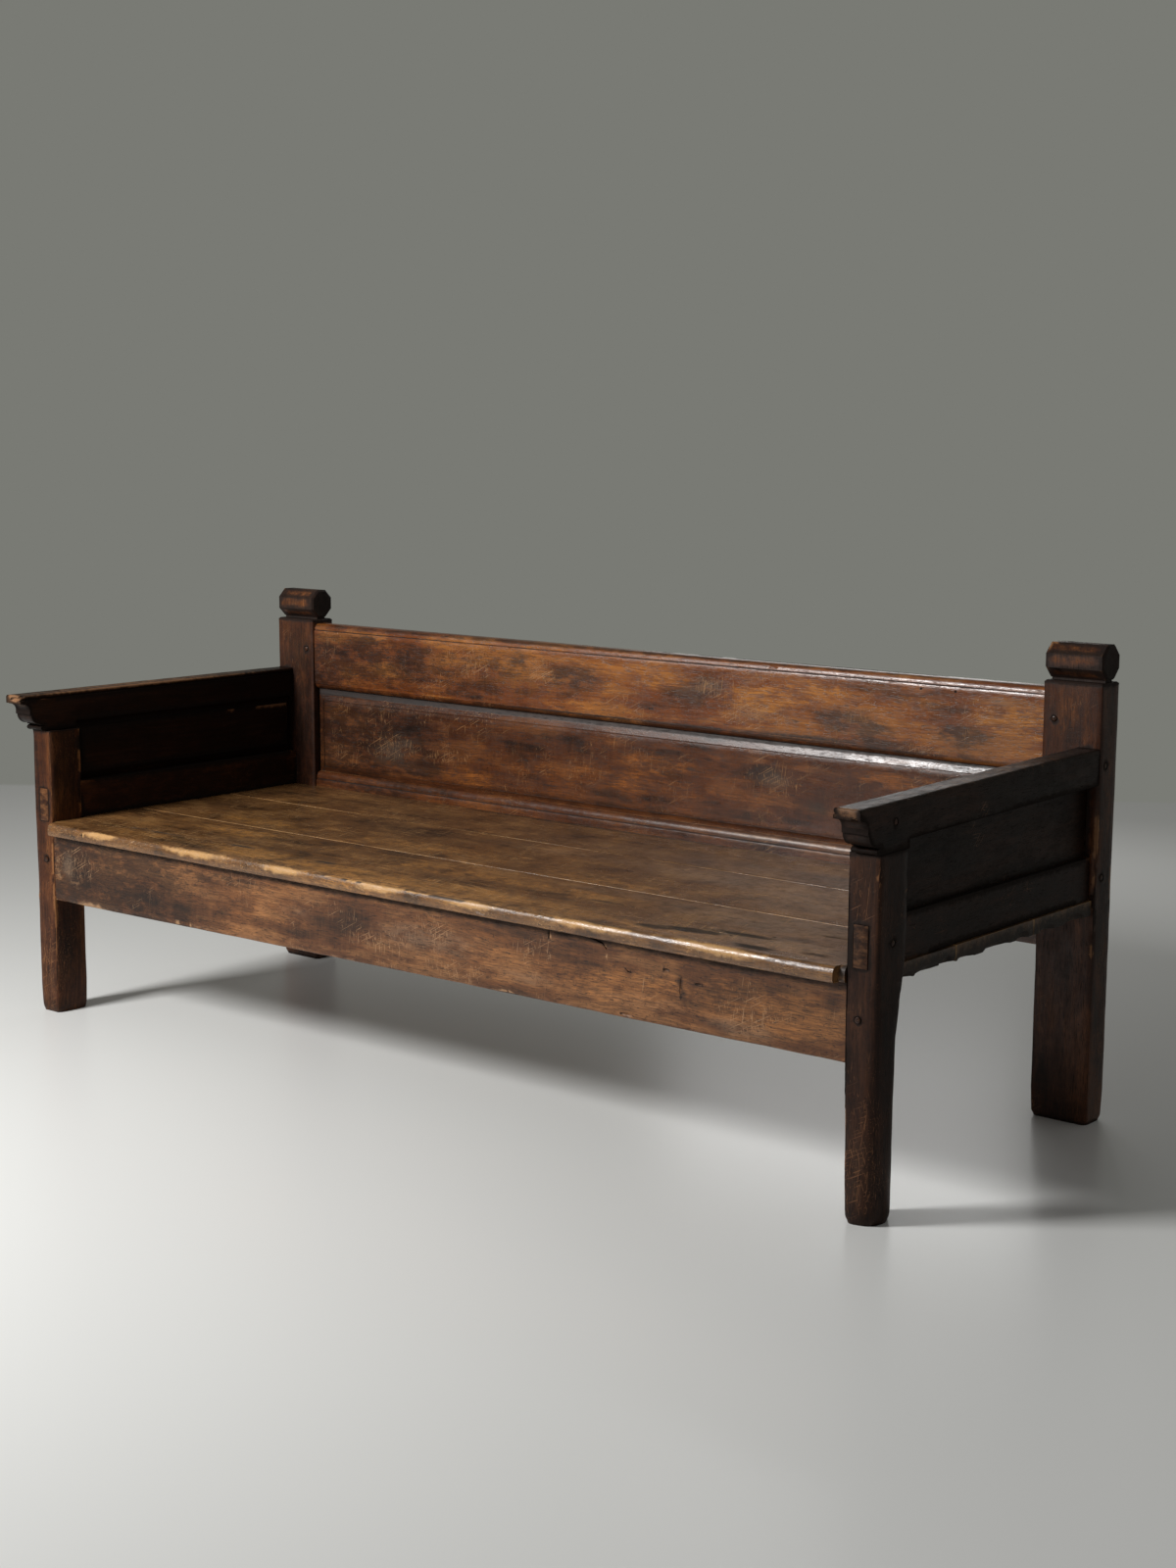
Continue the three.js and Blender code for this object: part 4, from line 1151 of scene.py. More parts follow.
@dataclass
class Seat:
    """The three long boards of the seat.

    Attributes:
        effects: The node groups of the finishes.
        nose_top: The radius of the nose's upper edge.
        nose_bottom: The radius of its lower edge.
        post_notch: Where the front board is notched round the front posts.
        nose_ends: Where the whole nose ends at the left and, broken, at the right.
        nose_cut: How long its ends slope, and how much of it goes back there and how far.
        arris: How far the boards' other arrises are eased.
        spacing: The distance between loops along the boards.
        cross_spacing: The distance between loops across them.
        margin: The distance of the outermost loops from the edges.
    """

    effects: Effects
    nose_top: float = 0.011
    nose_bottom: float = 0.005
    post_notch: tuple[float, float] = (1.0327, -0.2817)
    nose_ends: tuple[float, float] = (-1.027, 1.019)
    nose_cut: tuple[float, float, float] = (0.0015, 0.012, 0.0145)
    arris: float = 0.0009
    spacing: float = 0.008
    cross_spacing: float = 0.012
    margin: float = 0.003

    def build(self) -> None:
        """Builds the three boards."""
        self._front_board()
        self._middle_board()
        self._back_board()

    def _surface(self, board: Timber, name: str) -> None:
        """Gives a board its loops and its old uneven top."""
        low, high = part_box(name)
        with board.shaping():
            board.slice_at(Axis.Y, [low.y + self.margin, high.y - self.margin])
            board.slice_evenly(Axis.Y, self.cross_spacing)
            board.divide(Axis.X, self.spacing)
        board.wander([Wander(0.16, 0.0022, 4.0), Wander(0.03, 0.0007, 3.0)], Axis.X)

    def _dress(self, board: Timber, pith: Point, node: str) -> None:
        """Gives a board its finish."""
        board.dress(SEAT_WALNUT, self.effects, Grain.ALONG_X, pith, TURNS_FLAT, "seat", node)

    def _front_board(self) -> None:
        """Builds the board that carries the nose."""
        low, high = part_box("seat_board_front")
        notch_x, notch_y = self.post_notch
        left, right = self.nose_ends
        board = Timber.sawn("front_seat_board", (-notch_x, low.y, low.z), (notch_x, high.y, high.z))
        with board.shaping():
            board.slice_at(Axis.Y, [notch_y])
            for sign in (-1, 1):
                board.lengthen(
                    lambda face: face.normal.x * sign > SQUARE
                    and face.calc_center_median().y > notch_y,
                    (sign * (high.x - notch_x), 0, 0),
                )
            board.round_off(lambda edge: runs_at(edge, low.y, high.z), self.nose_top, 4)
            board.round_off(lambda edge: runs_at(edge, low.y, low.z), self.nose_bottom, 2)
            board.round_off(lambda edge: runs_at(edge, high.y, high.z), self.arris, 2)
            slope, deep, back = self.nose_cut
            board.slice_at(Axis.X, [left - slope, left, right, right + slope])
            board.push(lambda point: not left - slope / 2 < point.co.x < right + slope / 2
                       and point.co.y < low.y + deep, (0, back, 0))
        self._surface(board, "seat_board_front")
        front, z = low.y, high.z
        board.near([Patch((x, front, z), (0.5, 0.03, 0.04)) for x in (-0.7, -0.1, 0.3, 0.7)])
        board.wander([Wander(0.07, 0.003, 2.5, 0.9), Wander(0.018, 0.0008, 3.0, 0.9)],
                     Axis.X, "place")
        board.arrises(0.004)
        board.wander([Wander(0.02, 0.0009, 3.0, 1.0)], Axis.X, "arris")
        board.break_out(
            cracks_in(
                lambda x, y: (x, y, z),
                (0.0034, 0.006, (-0.933, -0.324), (-0.875, -0.306), (-0.82, -0.283),
                 (-0.72, -0.291), (-0.613, -0.303), (-0.53, -0.296), (-0.451, -0.284)),
                (0.0024, 0.003, (0.356, -0.229), (0.42, -0.227), (0.484, -0.229)),
                (0.004, 0.004, (0.627, -0.33), (0.67, -0.305), (0.716, -0.283),
                 (0.77, -0.277), (0.824, -0.264)),
            ),
            [Chip((right - 0.02, front - 0.001, z + 0.0005), (0.022, 0.006, 0.004)),
             Chip((0.66, -0.325, z + 0.0022), (0.03, 0.007, 0.004)),
             Chip((0.735, -0.3, z + 0.0022), (0.035, 0.005, 0.0035)),
             Chip((0.25, front - 0.0035, z - 0.016), (0.035, 0.006, 0.012)),
             Chip((0.42, front - 0.0035, z - 0.02), (0.05, 0.0055, 0.012)),
             Chip((-0.2, front - 0.0035, z - 0.004), (0.04, 0.006, 0.005)),
             *self._torn_end((-0.27, 0.02, 0.012), (-0.2, 0.05, 0.01), (-0.14, 0.03, 0.016)),
             Chip((-0.909, front + 0.002, z - 0.012), (0.0022, 0.004, 0.0022))],
        )
        # The bright patches along the nose are partly wear and partly painted highlights.
        nose_wear_and_highlights = tuple(Patch((x, front, z - 0.006), (wide, 0.014, 0.016), 0.95)
                     for x, wide in ((-0.85, 0.1), (-0.55, 0.16), (-0.28, 0.1), (-0.02, 0.14),
                                     (0.22, 0.1), (0.5, 0.16), (0.8, 0.16)))
        corners = tuple(Patch((x, -0.37, z), (wide, 0.03, 0.05), 1.0)
                        for x, wide in ((1.03, 0.013), (-1.033, 0.008)))
        board.age(Aging(
            arris_share=0.5,
            rubbed=on_top(
                z, (-0.86, -0.31, 0.012, 0.09, 0.4), (-0.62, -0.338, 0.05, 0.02, 0.4),
                (0.2, -0.375, 0.45, 0.012, 0.3), (0.7, -0.375, 0.35, 0.012, 0.4),
                (-0.4, -0.375, 0.6, 0.01, 0.25)) + nose_wear_and_highlights,
            golden=on_top(
                z, (-0.1, -0.34, 0.3, 0.08, 1.0), (-0.45, -0.31, 0.2, 0.06, 0.8),
                (0.097, -0.325, 0.22, 0.07, 1.0), (0.228, -0.332, 0.2, 0.07, 1.0),
                (0.367, -0.327, 0.2, 0.06, 1.0), (0.603, -0.339, 0.2, 0.04, 1.0),
                (0.35, -0.2, 0.4, 0.07, 0.6), (0.9, -0.33, 0.15, 0.04, 0.7),
                (-0.615, -0.18, 0.2, 0.07, 0.7), (-0.35, -0.34, 0.25, 0.05, 0.8),
                (-0.05, -0.2, 0.35, 0.08, 0.6), (-0.8, -0.33, 0.25, 0.05, 0.5)),
            # The end patches among the stains and the dirt here are painted shade on the board's
            # ends.
            stained=on_top(
                z, (-0.248, -0.301, 0.06, 0.03, 0.8), (-0.103, -0.335, 0.07, 0.022, 0.8),
                (-0.212, -0.13, 0.1, 0.03, 0.7), (0.66, -0.322, 0.09, 0.024, 1.0),
                (0.75, -0.29, 0.1, 0.024, 1.0), (0.821, -0.351, 0.06, 0.02, 1.0),
                (0.875, -0.256, 0.07, 0.03, 0.7), (0.46, -0.2, 0.1, 0.03, 0.4),
                (-0.55, -0.25, 0.14, 0.03, 0.5), (0.02, -0.27, 0.08, 0.02, 0.6),
                (1.0, -0.3, 0.08, 0.12, 0.5)) + self._stained_ends(-0.2, low.z),
            grimy=corners + self._dark_ends(low, high) + on_top(
                z, (0.61, -0.336, 0.07, 0.022, 1.2), (0.69, -0.312, 0.1, 0.022, 1.4),
                (0.78, -0.285, 0.1, 0.02, 1.2), (0.84, -0.352, 0.07, 0.02, 1.3),
                (0.95, -0.33, 0.07, 0.018, 0.9), (0.9, -0.2, 0.08, 0.016, 0.8),
                (-0.78, -0.293, 0.22, 0.014, 0.9), (-0.5, -0.29, 0.09, 0.014, 1.0),
                (0.42, -0.228, 0.09, 0.012, 0.9), (-0.24, -0.3, 0.06, 0.02, 0.8)),
            # The grey patches here are painted sheen on the seat.
            hazed=on_top(
                z, (0.76, -0.17, 0.4, 0.12, 1.0), (0.35, -0.15, 0.25, 0.04, 0.5),
                (0.85, -0.3, 0.25, 0.06, 0.9)),
            scuffed=on_top(
                z, (0.7, -0.3, 0.25, 0.08, 0.7), (-0.7, -0.3, 0.4, 0.1, 0.7),
                (0.2, -0.3, 0.4, 0.08, 0.5)),
        ))
        self._dress(board, (0.3, 0.2, -0.34), "seat_board_front")

    @staticmethod
    def _torn_end(*tears: tuple[float, float, float]) -> list[Chip]:
        """Breaks the lower edge of a board's right end.

        Args:
            *tears: The place along Y, the half length and the height of each.

        Returns:
            The chips.
        """
        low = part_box("seat_board_middle")[0].z
        return [Chip((1.09, y, low), (0.012, reach, height)) for y, reach, height in tears]

    @staticmethod
    def _stained_ends(y: float, z: float) -> tuple[Patch, ...]:
        """Places painted shade round both ends of a board."""
        return tuple(Patch((x, y, z), (0.06, 0.3, 0.06), 1.0) for x in (-1.09, 1.09))

    @staticmethod
    def _dark_ends(low: Vector, high: Vector) -> tuple[Patch, ...]:
        """Places painted shade on both ends of a board."""
        return tuple(Patch((x, (low.y + high.y) / 2, low.z), (0.02, 0.5, 0.05), 1.0)
                     for x in (low.x, high.x))

    def _middle_board(self) -> None:
        """Builds the middle board with its long crack."""
        low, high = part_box("seat_board_middle")
        board = Timber.sawn("middle_seat_board", low, high)
        board.ease(self.arris)
        self._surface(board, "seat_board_middle")
        z = high.z
        board.break_out(
            cracks_in(lambda x, y: (x, y, z),
                      (0.0024, 0.004, (0.43, 0.011), (0.52, 0.009), (0.6, 0.0095), (0.7, 0.008),
                       (0.79, 0.009))),
            self._torn_end((-0.08, 0.03, 0.008), (0.02, 0.05, 0.011), (0.11, 0.025, 0.014)))
        board.age(Aging(
            arris_share=0.9,
            # The end patches among the dirt and the stains here are painted shade on the board's
            # ends.
            grimy=self._dark_ends(low, high),
            golden=on_top(
                z, (0.305, -0.083, 0.25, 0.06, 0.8), (-0.701, -0.061, 0.25, 0.06, 0.7),
                (-0.2, -0.05, 0.35, 0.08, 0.6)),
            # The grey patches here are painted sheen on the seat.
            hazed=on_top(
                z, (0.503, 0.088, 0.4, 0.1, 0.9), (0.743, -0.001, 0.3, 0.12, 0.9),
                (0.0, 0.1, 0.4, 0.08, 0.4)),
            stained=on_top(
                z, (-0.35, 0.08, 0.5, 0.1, 0.5), (0.98, 0.0, 0.1, 0.14, 0.6),
                (-0.93, 0.05, 0.12, 0.1, 0.5),
                (0.2, 0.03, 0.1, 0.03, 0.4)) + self._stained_ends(0.02, low.z),
        ))
        self._dress(board, (1.7, -0.03, -0.36), "seat_board_middle")

    def _back_board(self) -> None:
        """Builds the board that runs between the rear posts."""
        low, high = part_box("seat_board_back")
        post_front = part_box("rear_post_left")[0].y - SLIP
        post_inner = between_posts("rear")
        board = Timber.sawn("back_seat_board", low, (high.x, post_front, high.z))
        with board.shaping():
            board.slice_at(Axis.X, [-post_inner, post_inner])
            board.lengthen(
                lambda face: face.normal.y > SQUARE
                and abs(face.calc_center_median().x) < post_inner,
                (0, high.y - post_front, 0),
            )
        board.ease(self.arris)
        self._surface(board, "seat_board_back")
        z = high.z
        board.break_out([], self._torn_end((0.2, 0.03, 0.01), (0.3, 0.04, 0.014)))
        board.age(Aging(
            arris_share=0.9,
            # The end patches among the dirt and the stains here are painted shade on the board's
            # ends.
            grimy=self._dark_ends(low, high),
            # The grey patches here are painted sheen on the seat.
            hazed=on_top(
                z, (0.297, 0.2, 0.4, 0.08, 0.8), (0.6, 0.27, 0.5, 0.12, 0.8),
                (0.85, 0.2, 0.25, 0.12, 0.8), (-0.1, 0.28, 0.4, 0.08, 0.4)),
            stained=on_top(
                z, (-0.4, 0.22, 0.6, 0.14, 0.45), (-0.924, 0.248, 0.12, 0.1, 0.7),
                (-0.555, 0.203, 0.14, 0.05, 0.5), (-0.222, 0.162, 0.12, 0.04, 0.5),
                (0.0, 0.36, 1.1, 0.02, 0.8)) + self._stained_ends(0.25, low.z),
            golden=on_top(z, (-0.3, 0.22, 0.4, 0.08, 0.4)),
        ))
        self._dress(board, (3.1, -0.24, -0.35), "seat_board_back")


@dataclass
class Back:
    """The back between the rear posts: two moulded rails and a fielded panel.

    Attributes:
        effects: The node groups of the finishes.
        crown: The height and depth of the top rail's rounded crown.
        ovolo: The height and depth of the quarter round below the top rail.
        sill_round: The height and depth of the round on the bottom rail.
        fillet: The height and slant of the fillets before the rounds.
        quirk: The height and depth of the quirks between them.
        step: The depth at which a round starts.
        groove: The front and the back of the panel's groove.
        groove_depth: Its depth.
        tenon: The thickness and the shoulder of the rails' tenons.
        bevel_rise: How far the panel's bevel rises.
        bevel_foot: Its foot, as distances from the panel's ends, top and bottom.
        tongue: How far the panel's flat edge goes in before the bevel.
        taper: How far the top rail's edges move up at each end, the lower one first.
        edges: How much of the top rail's height moves with the lower and with the upper edge.
        top_loops: The level loops of the top rail: the first one's height, their spacing and
            their number.
        sill_loops: The bottom rail's.
        panel_loops: The panel's, from the foot of its raised face.
        spacing: The distance between loops along the pieces.
    """

    effects: Effects
    crown: tuple[float, float] = (0.0135, 0.012)
    ovolo: tuple[float, float] = (0.012, 0.012)
    sill_round: tuple[float, float] = (0.017, 0.012)
    fillet: tuple[float, float] = (0.004, 0.0012)
    quirk: tuple[float, float] = (0.0025, 0.0037)
    step: float = 0.002
    groove: tuple[float, float] = (0.3837, 0.3923)
    groove_depth: float = 0.008
    tenon: tuple[float, float] = (0.016, 0.014)
    bevel_rise: float = 0.0065
    bevel_foot: tuple[float, float, float] = (0.028, 0.030, 0.019)
    tongue: float = 0.008
    taper: tuple[tuple[float, float, float], ...] = ((-1, 0.005, 0.0), (1, -0.006, -0.004))
    edges: tuple[float, float] = (0.025, 0.028)
    top_loops: tuple[float, float, int] = (0.026, 0.0115, 10)
    sill_loops: tuple[float, float, int] = (0.025, 0.014, 6)
    panel_loops: tuple[float, float, int] = (0.018, 0.0115, 11)
    spacing: float = 0.008

    def build(self) -> None:
        """Builds the rails and the panel."""
        self._top_rail()
        self._bottom_rail()
        self._panel()

    def _round(self, start: float, height: float, depth: float,
               steps: int = 6) -> list[tuple[float, float]]:
        """Lists the heights and depths of a quarter round.

        Args:
            start: The height at which it starts.
            height: How far it goes up, or down where it is negative.
            depth: How far it runs back.
            steps: Into how many parts it is cut.

        Returns:
            The height and the depth of each loop.
        """
        turns = [math.pi / 2 * step / steps for step in range(steps + 1)]
        return [(start + height * math.sin(turn), self.step + depth * (1 - math.cos(turn)))
                for turn in turns]

    def _moulding(self, edge: float, size: tuple[float, float]) -> list[tuple[float, float]]:
        """Lists the loops of a fillet, a quirk and a round that ends at a rail's upper edge."""
        start = edge - size[0]
        quirk_foot = start - self.quirk[0]
        fillet_foot = quirk_foot - self.fillet[0]
        return [(fillet_foot - 0.004, 0.0), (fillet_foot, 0.0),
                (quirk_foot - 0.0001, self.fillet[1]), (quirk_foot + 0.0001, self.quirk[1]),
                (start - 0.0002, self.quirk[1]), *self._round(start, *size)]

    def _body(self, name: str, node: str) -> tuple[Timber, Vector, Vector]:
        """Saws a rail to its length between the posts."""
        low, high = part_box(node)
        end = between_posts("rear")
        return Timber.sawn(name, (-end, low.y, low.z), (end, high.y, high.z)), low, high

    def _groove(self, rail: Timber, z: float, way: int) -> None:
        """Ploughs the panel's groove into a rail's edge."""
        rail.slice_at(Axis.Y, self.groove)
        rail.lengthen(
            lambda face: face.normal.z * way < -SQUARE
            and abs(face.calc_center_median().z - z) < TOUCH
            and self.groove[0] < face.calc_center_median().y < self.groove[1],
            (0, 0, way * self.groove_depth),
        )

    def _weather(self, piece: Timber, swell: float) -> None:
        """Gives a piece of the back its loops along X and its unevenness."""
        with piece.shaping():
            piece.divide(Axis.X, self.spacing)
        piece.wander([Wander(0.2, swell, 4.0), Wander(0.03, 0.0003, 6.0)], Axis.X)
        piece.arrises(0.0025)
        piece.wander([Wander(0.012, 0.0008, 4.0, 1.0)], Axis.X, "arris")

    def _dress(self, piece: Timber, walnut: "Walnut", pith: Point, slot: str, node: str) -> None:
        """Gives a piece of the back its finish."""
        piece.dress(walnut, self.effects, Grain.ALONG_X, pith, TURNS_UPRIGHT, slot, node)

    def _top_rail(self) -> None:
        """Builds the top rail with its crown and its lower quarter round."""
        rail, low, high = self._body("top_rail", "back_top_rail")
        top, bottom, y = high.z, low.z, low.y
        with rail.shaping():
            rail.mould(y, self._moulding(top, self.crown))
            start = bottom + self.ovolo[0]
            rail.mould(y, [(start + 0.004, 0.0), (start + 0.0002, 0.0),
                           *self._round(start, -self.ovolo[0], self.ovolo[1], 5)])
            self._groove(rail, bottom, 1)
            rail.tenon(low, high, between_posts("rear"), self.tenon)
            rail.slice_up(bottom, self.top_loops)
            below, above = self.edges
            for sign, lower, upper in self.taper:
                rail.push(lambda point: point.co.x * sign > RAIL_END
                          and point.co.z < bottom + below, (0, 0, lower))
                rail.push(lambda point: point.co.x * sign > RAIL_END
                          and point.co.z > top - above, (0, 0, upper))
        self._weather(rail, 0.0018)
        rail.break_out([], [
            Chip((0.28, y, top - 0.0155), (0.01, 0.003, 0.0025)),
            Chip((0.36, y + 0.002, top - 0.011), (0.014, 0.003, 0.003)),
            Chip((-0.35, y, top - 0.0165), (0.009, 0.003, 0.0025)),
            Chip((0.62, y + 0.005, top - 0.003), (0.018, 0.004, 0.003)),
            Chip((0.86, y + 0.006, top - 0.002), (0.028, 0.004, 0.003)),
            Chip((-0.55, y + 0.008, top), (0.025, 0.005, 0.002)),
            Chip((0.71, y, 0.793), (0.0022, 0.004, 0.0022)),
            Chip((0.786, y, 0.793), (0.0022, 0.004, 0.0022)),
            Chip((0.05, y, 0.7), (0.006, 0.0015, 0.002))])
        crown = Patch((0.3, high.y - 0.01, top), (1.5, 0.03, 0.012), 0.8)
        rail.age(Aging(
            golden=on_front(
                y, (-0.894, 0.785, 0.14, 0.02, 0.5), (0.091, 0.762, 0.18, 0.035, 0.9),
                (0.343, 0.741, 0.16, 0.045, 1.0), (0.914, 0.745, 0.16, 0.06, 1.0),
                (-0.3, 0.725, 0.35, 0.05, 0.5), (-0.65, 0.735, 0.2, 0.05, 0.3),
                (0.47, 0.77, 0.14, 0.035, 0.9), (0.7, 0.765, 0.12, 0.025, 0.8)),
            grimy=on_front(y, (0.0, 0.6738, 2.0, 0.0022, 0.9)),
            # The two broad patches on the left half are painted shade where less light falls, and
            # the band along the crown's top is painted shade.
            stained=on_front(
                y, (-0.9, 0.74, 0.5, 0.12, 0.8), (-0.4, 0.75, 0.5, 0.1, 0.5),
                (0.0, top - 0.004, 2.0, 0.007, 0.8), (0.0, 0.666, 2.0, 0.012, 0.8),
                (-0.795, 0.789, 0.07, 0.02, 0.8), (-0.62, 0.777, 0.06, 0.016, 0.7),
                (-0.32, 0.78, 0.034, 0.018, 1.0), (-0.151, 0.751, 0.12, 0.04, 0.7),
                (0.135, 0.745, 0.05, 0.03, 0.5), (0.533, 0.717, 0.12, 0.045, 0.9),
                (0.602, 0.7, 0.1, 0.03, 0.8), (0.804, 0.708, 0.12, 0.045, 0.9),
                (-0.93, 0.7, 0.1, 0.06, 0.6), (-0.5, 0.69, 0.2, 0.015, 0.5),
                (0.0, 0.672, 1.2, 0.01, 0.5)),
            hazed=on_front(
                y, (0.211, 0.761, 0.08, 0.025, 0.8), (0.307, 0.708, 0.11, 0.035, 0.5),
                (0.882, 0.78, 0.06, 0.018, 0.8), (0.622, 0.786, 0.08, 0.01, 0.9),
                (0.16, 0.74, 0.08, 0.04, 0.5)) + (crown,),
            scuffed=on_front(
                y, (-0.447, 0.756, 0.08, 0.05, 0.7), (-0.257, 0.752, 0.07, 0.05, 0.9),
                (0.211, 0.761, 0.1, 0.04, 1.0), (0.047, 0.684, 0.08, 0.02, 0.8),
                (0.33, 0.786, 0.07, 0.02, 0.9), (0.307, 0.708, 0.12, 0.04, 1.0),
                (0.71, 0.675, 0.08, 0.02, 0.8)),
            rubbed=on_front(
                y, (0.1, top - 0.008, 0.6, 0.006, 0.4), (0.7, top - 0.008, 0.4, 0.006, 0.5),
                (0.4, 0.8005, 0.7, 0.0035, 0.45), (-0.5, 0.8005, 0.5, 0.0035, 0.3)),
        ))
        self._dress(rail, RAIL_WALNUT, (0.6, -0.45, -0.74), "rail", "back_top_rail")

    def _bottom_rail(self) -> None:
        """Builds the bottom rail with its upper round."""
        rail, low, high = self._body("bottom_rail", "back_bottom_rail")
        y, top = low.y, high.z
        with rail.shaping():
            rail.mould(y, self._moulding(top, self.sill_round))
            self._groove(rail, top, -1)
            rail.tenon(low, high, between_posts("rear"), self.tenon)
            rail.slice_up(low.z, self.sill_loops)
        self._weather(rail, 0.0012)
        rail.age(Aging(
            # The broad patch at the left is painted shade where less light falls.
            stained=on_front(y, (-0.8, 0.44, 0.3, 0.05, 0.6), (0.0, 0.434, 1.3, 0.008, 0.5)),
            hazed=on_front(y, (0.5, 0.46, 0.7, 0.03, 0.7), (0.7, 0.44, 0.4, 0.02, 0.5)),
            rubbed=on_front(y, (0.5, 0.458, 0.8, 0.007, 0.6), (0.5, 0.4435, 0.8, 0.003, 0.6)),
        ))
        self._dress(rail, PANEL_WALNUT, (1.9, -0.43, -0.4), "rail", "back_bottom_rail")

    def _panel(self) -> None:
        """Builds the fielded panel, with a broad bevel along its top."""
        low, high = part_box("back_panel")
        tongue_front = self.groove[0] + SLIP
        panel = Timber.sawn("back_board", (low.x, tongue_front, low.z), high)
        ends, above, below = self.bevel_foot
        side, bottom, top = high.x - ends, low.z + below, high.z - above
        with panel.shaping():
            panel.slice_at(Axis.X, [-side, side])
            panel.slice_at(Axis.Z, [bottom, top])
            panel.lengthen(
                lambda face: face.normal.y < -SQUARE and abs(face.calc_center_median().x) < side
                and bottom < face.calc_center_median().z < top,
                (0, -self.bevel_rise, 0),
            )
            self._sink_rings()
            self._spread_foot(panel, tongue_front, (side, bottom, top), low, high)
            panel.slice_up(bottom, self.panel_loops)
            panel.slice_at(Axis.Z, [top + 0.008, top + 0.016])
        self._weather(panel, 0.0014)
        y = low.y
        foot = Patch((0.0, y, bottom + 0.001), (2.0, 0.05, 0.004), 0.6)
        panel.age(Aging(
            golden=on_front(
                y, (-0.904, 0.622, 0.07, 0.025, 1.0), (-0.506, 0.5, 0.18, 0.035, 1.0),
                (0.061, 0.582, 0.16, 0.04, 0.9), (-0.018, 0.532, 0.14, 0.035, 0.8),
                (0.622, 0.605, 0.16, 0.025, 0.9), (-0.25, 0.54, 0.12, 0.03, 0.5)),
            hazed=on_front(
                y, (-0.725, 0.528, 0.14, 0.05, 0.5), (-0.693, 0.565, 0.12, 0.04, 0.4),
                (0.377, 0.579, 0.09, 0.035, 0.6), (0.462, 0.532, 0.08, 0.03, 0.4),
                (0.2, 0.652, 1.0, 0.018, 0.5)),
            # The broad patch at the left end is painted shade where less light falls.
            stained=on_front(
                y, (-0.85, 0.57, 0.55, 0.2, 0.9), (0.8, 0.53, 0.3, 0.06, 0.45),
                (-0.63, 0.503, 0.1, 0.03, 0.8), (0.341, 0.589, 0.08, 0.04, 0.9),
                (0.293, 0.499, 0.12, 0.025, 0.7), (-0.24, 0.615, 0.16, 0.025, 0.5),
                (-0.128, 0.574, 0.1, 0.03, 0.4), (0.462, 0.532, 0.1, 0.04, 0.7),
                (-0.92, 0.52, 0.09, 0.06, 0.7), (-0.4, 0.6, 0.1, 0.02, 0.4)),
            scuffed=on_front(
                y, (-0.552, 0.54, 0.1, 0.04, 0.9), (0.377, 0.579, 0.1, 0.04, 1.0),
                (-0.72, 0.55, 0.14, 0.05, 0.7)),
            # The narrow upright patches are painted shade in the gaps beside the posts, and the
            # long band is the top rail's painted shadow on the bevel, which also dulls it.
            grimy=on_front(
                y, (-0.965, 0.56, 0.0125, 0.3, 1.0), (0.965, 0.56, 0.0125, 0.3, 0.8),
                (0.0, 0.6607, 6.0, 0.0125, 2.0)) + (foot,),
            rubbed=on_front(y, (0.45, 0.6335, 0.6, 0.003, 0.5), (-0.4, 0.6335, 0.5, 0.003, 0.3)),
        ))
        self._dress(panel, PANEL_WALNUT, (2.4, -0.46, -0.56), "panel", "back_panel")

    @staticmethod
    def _sink_rings() -> None:
        """Cuts the quirk round the raised face and slants the fillet and the band inside it."""
        for width, rise in ((0.0002, -0.0014), (0.0019, 0.0), (0.0002, 0.0014), (0.005, 0.0011),
                            (0.005, 0.0004)):
            bpy.ops.mesh.inset(thickness=width, depth=rise)

    def _spread_foot(self, panel: Timber, front: float, foot: tuple[float, float, float],
                     low: Vector, high: Vector) -> None:
        """Moves the raised face's root out to the tongue, which makes the bevel."""
        side, bottom, top = foot
        out = high.x - self.tongue - side
        for sign in (-1, 1):
            panel.push(lambda point: abs(point.co.x - sign * side) < TOUCH
                       and abs(point.co.y - front) < TOUCH
                       and bottom - 1e-4 < point.co.z < top + 1e-4,
                       (sign * out, 0, 0))
        for place, reach in ((bottom, low.z + self.tongue - bottom),
                             (top, high.z - self.tongue - top)):
            panel.push(lambda point: abs(point.co.z - place) < TOUCH
                       and abs(point.co.y - front) < TOUCH and abs(point.co.x) < high.x - 1e-4,
                       (0, 0, reach))


